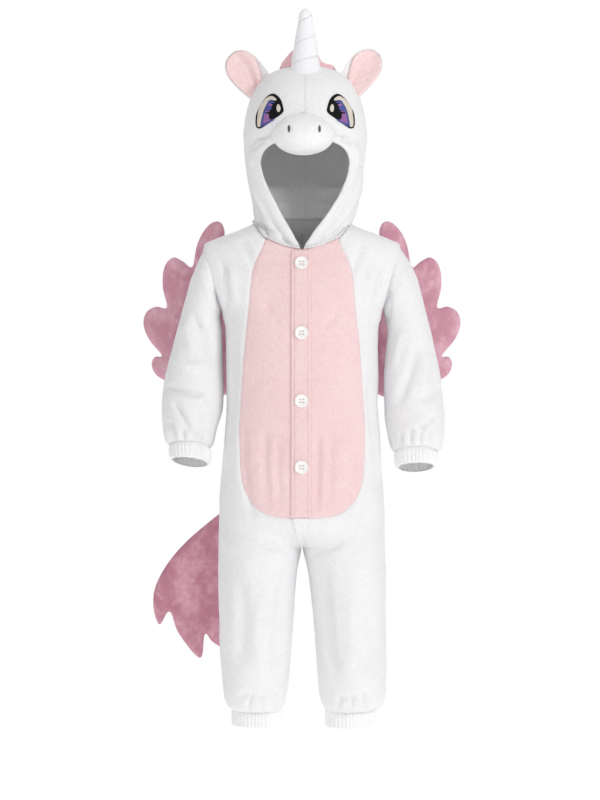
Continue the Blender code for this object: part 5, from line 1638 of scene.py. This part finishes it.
def stitch_row():
    """Stitches laid at even spaces along lines, as a tree of nodes."""
    tree = bpy.data.node_groups.new("row of stitches", "GeometryNodeTree")
    face = tree.interface
    face.new_socket("Lines", in_out="INPUT", socket_type="NodeSocketGeometry")
    for name in ("Spacing", "Length", "Thickness"):
        face.new_socket(name, in_out="INPUT", socket_type="NodeSocketFloat")
    face.new_socket("Thread", in_out="INPUT", socket_type="NodeSocketMaterial")
    face.new_socket("Stitches", in_out="OUTPUT", socket_type="NodeSocketGeometry")

    def node(kind, settings=None, **links):
        made = tree.nodes.new(kind)
        for name, value in (settings or {}).items():
            setattr(made, name, value)
        for name, value in links.items():
            socket = made.inputs[name.replace("_", " ")]
            if isinstance(value, bpy.types.NodeSocket):
                tree.links.new(value, socket)
            else:
                socket.default_value = value
        return made

    given = node("NodeGroupInput")
    curve = node("GeometryNodeMeshToCurve", Mesh=given.outputs["Lines"])
    spacing, thread = given.outputs["Spacing"], given.outputs["Thread"]
    thick, long = given.outputs["Thickness"], given.outputs["Length"]
    spots = node("GeometryNodeCurveToPoints", {"mode": "LENGTH"}, Curve=curve.outputs[0], Length=spacing)
    bead = node("GeometryNodeMeshUVSphere", Segments=8, Rings=6, Radius=0.5)
    size = node("ShaderNodeCombineXYZ", X=thick, Y=thick, Z=long)
    stitch = node("GeometryNodeTransform", Geometry=bead.outputs[0], Scale=size.outputs[0])
    at = {"Points": spots.outputs["Points"], "Rotation": spots.outputs["Rotation"]}
    laid = node("GeometryNodeInstanceOnPoints", Instance=stitch.outputs[0], **at)
    real = node("GeometryNodeRealizeInstances", Geometry=laid.outputs[0])
    coloured = node("GeometryNodeSetMaterial", Geometry=real.outputs[0], Material=thread)
    out = node("NodeGroupOutput")
    tree.links.new(coloured.outputs[0], out.inputs[0])
    return tree


STITCH_ROW = stitch_row()


def stitches(name, lines, spacing, length, radius, thread):
    """Rows of stitches along these lines: their spacing, and each stitch's length and radius."""
    points, edges = [], []
    for line in lines:
        edges += [(len(points) + i, len(points) + i + 1) for i in range(len(line) - 1)]
        points += [tuple(p) for p in line]
    data = bpy.data.meshes.new(name)
    data.from_pydata(points, edges, [])
    piece = bpy.data.objects.new(name, data)
    bpy.context.scene.collection.objects.link(piece)
    row = piece.modifiers.new("stitches", "NODES")
    row.node_group = STITCH_ROW
    given = {"Spacing": spacing, "Length": length, "Thickness": 2 * radius, "Thread": thread}
    for socket in STITCH_ROW.interface.items_tree:
        if socket.item_type == "SOCKET" and socket.name in given:
            row[socket.identifier] = given[socket.name]
    settle_modifiers(piece)
    piece.data.shade_smooth()
    return add(piece, thread)


def face_stitches():
    """The stitched line that holds the hem of the face opening."""
    heights = np.linspace(0.012, 0.135, 60)
    front = np.full(len(heights), -0.05)
    for side in (-1, 1):
        def past_hem(x, side=side):
            return -HEM_STITCHES - face_field(stack(HOOD_CENTRE + side * x, front, heights))

        x = HOOD_CENTRE + side * root(past_hem, np.zeros(len(heights)), np.full(len(heights), 0.12))
        y = hood_front_depth(x, heights)
        keep = np.abs(x - HOOD_CENTRE) < 0.093
        points = stack(x, y, heights)[keep]
        points[:, 1] -= 0.0003 + hood_rise(points)
        stitches("face_stitches_" + hand(side), [points], 0.0036, 0.0026, 0.00034, SEWING_THREAD)


def band_stitches():
    z = np.linspace(-0.032, -0.4395, 220)
    lines = []
    for x in (BAND_LEFT + BAND_STITCHES[0], BAND_RIGHT - BAND_STITCHES[1]):
        flat = laid_on_front(np.full(len(z), x), z)
        flat[:, 1] -= 0.0033 + body_rise(flat) + band_edges(flat)
        lines.append(flat)
    stitches("band_stitches", lines, 0.0034, 0.0024, 0.00034, PINK_THREAD)


# ---- the studio ----

LAMP_AIM = (0, 0, -0.25)
ROOM_LIGHT, PAPER_LIGHT, FLOOR_GLOW = 0.50, 1.0, 0.36
FLOOR_HEIGHT, FLOOR_RADIUS, FLOOR_FADE = -0.885, 14, (0.95, 1.55)
CAMERA_PLACE, CAMERA_LENS, CAMERA_SENSOR = (-0.0032, -3.6, -0.2592), 101.25, 36


def light(name, place, size, power):
    """A round soft lamp, aimed at the belly."""
    lamp = bpy.data.lights.new(name, "AREA")
    lamp.shape, lamp.size, lamp.energy = "DISK", size, power
    made = bpy.data.objects.new(name, lamp)
    made.location = place
    made.rotation_euler = (Vector(LAMP_AIM) - Vector(place)).to_track_quat("-Z", "Y").to_euler()
    bpy.context.scene.collection.objects.link(made)


def floor_paper():
    """Pale paper that takes a soft shadow under the suit and turns to plain white further out."""
    glow = {"Emission Color": (1, 1, 1, 1), "Emission Strength": FLOOR_GLOW}
    pale = Finish("pale floor", {"Specular IOR Level": 0.1, **glow})
    grain = pale.noise(0.4, 2)
    colour = pale.blend(grain, tone(250, 250, 250), tone(254, 254, 254))
    paper = pale.made(colour, 0.9, pale.relief(grain, 0.0005, 0.2))
    nodes, links = paper.node_tree.nodes, paper.node_tree.links
    kinds = ("TexCoord", "VectorMath", "MapRange", "Emission", "MixShader")
    place, length, edge, white, mix = (nodes.new("ShaderNode" + kind) for kind in kinds)
    length.operation = "LENGTH"
    edge.interpolation_type = "SMOOTHSTEP"
    edge.inputs["From Min"].default_value, edge.inputs["From Max"].default_value = FLOOR_FADE
    links.new(place.outputs["Object"], length.inputs[0])
    links.new(length.outputs["Value"], edge.inputs["Value"])
    links.new(edge.outputs["Result"], mix.inputs[0])
    output = next(node for node in nodes if node.type == "OUTPUT_MATERIAL")
    links.new(output.inputs["Surface"].links[0].from_socket, mix.inputs[1])
    links.new(white.outputs[0], mix.inputs[2])
    links.new(mix.outputs[0], output.inputs["Surface"])
    return paper


def studio():
    scene = bpy.context.scene
    scene.view_settings.view_transform = "Standard"
    world = bpy.data.worlds.new("studio")
    world.use_nodes = True
    tree = world.node_tree
    kinds = ("Background", "Background", "LightPath", "MixShader")
    room, paper, path, mix = (tree.nodes.new("ShaderNode" + kind) for kind in kinds)
    room.inputs["Color"].default_value = paper.inputs["Color"].default_value = (1, 1, 1, 1)
    room.inputs["Strength"].default_value, paper.inputs["Strength"].default_value = ROOM_LIGHT, PAPER_LIGHT
    tree.links.new(path.outputs["Is Camera Ray"], mix.inputs[0])
    tree.links.new(room.outputs[0], mix.inputs[1])
    tree.links.new(paper.outputs[0], mix.inputs[2])
    tree.links.new(mix.outputs[0], tree.nodes["World Output"].inputs[0])
    scene.world = world
    light("key", (2.3, -2.5, 1.2), 0.9, 36)
    light("fill", (-2.4, -2.4, 0.6), 2.2, 5)
    light("back", (-0.6, 2.8, 1.6), 1.8, 20)
    light("front", (0.3, -3.4, 0.3), 2.4, 9)
    light("top", (0.2, -0.4, 2.8), 1.4, 8)
    shape = bmesh.new()
    bmesh.ops.create_circle(shape, cap_ends=True, segments=96, radius=FLOOR_RADIUS)
    data = bpy.data.meshes.new("floor")
    shape.to_mesh(data)
    shape.free()
    floor = bpy.data.objects.new("floor", data)
    for vert in data.vertices:
        vert.co.z = FLOOR_HEIGHT
    data.materials.append(floor_paper())
    scene.collection.objects.link(floor)
    optics = bpy.data.cameras.new("camera")
    optics.lens, optics.sensor_width = CAMERA_LENS, CAMERA_SENSOR
    camera = bpy.data.objects.new("camera", optics)
    camera.location, camera.rotation_euler = CAMERA_PLACE, (PI / 2, 0, 0)
    scene.collection.objects.link(camera)
    scene.camera = camera


# ---- making ----

def make():
    studio()
    body_pieces()
    band_pieces()
    strands = []
    for number, z in enumerate(BUTTON_HEIGHTS, 1):
        strands += button(number, z)
    stitches("button_threads", strands, 0.00035, 0.0008, 0.00036, PINK_THREAD)
    sleeve_pieces()
    leg_cuff_pieces()
    hood = hood_pieces()
    eye_pieces()
    muzzle_piece()
    horn_piece()
    ear_pieces()
    mane_piece(hood)
    wing_pieces()
    tail_piece()
    face_stitches()
    band_stitches()


make()
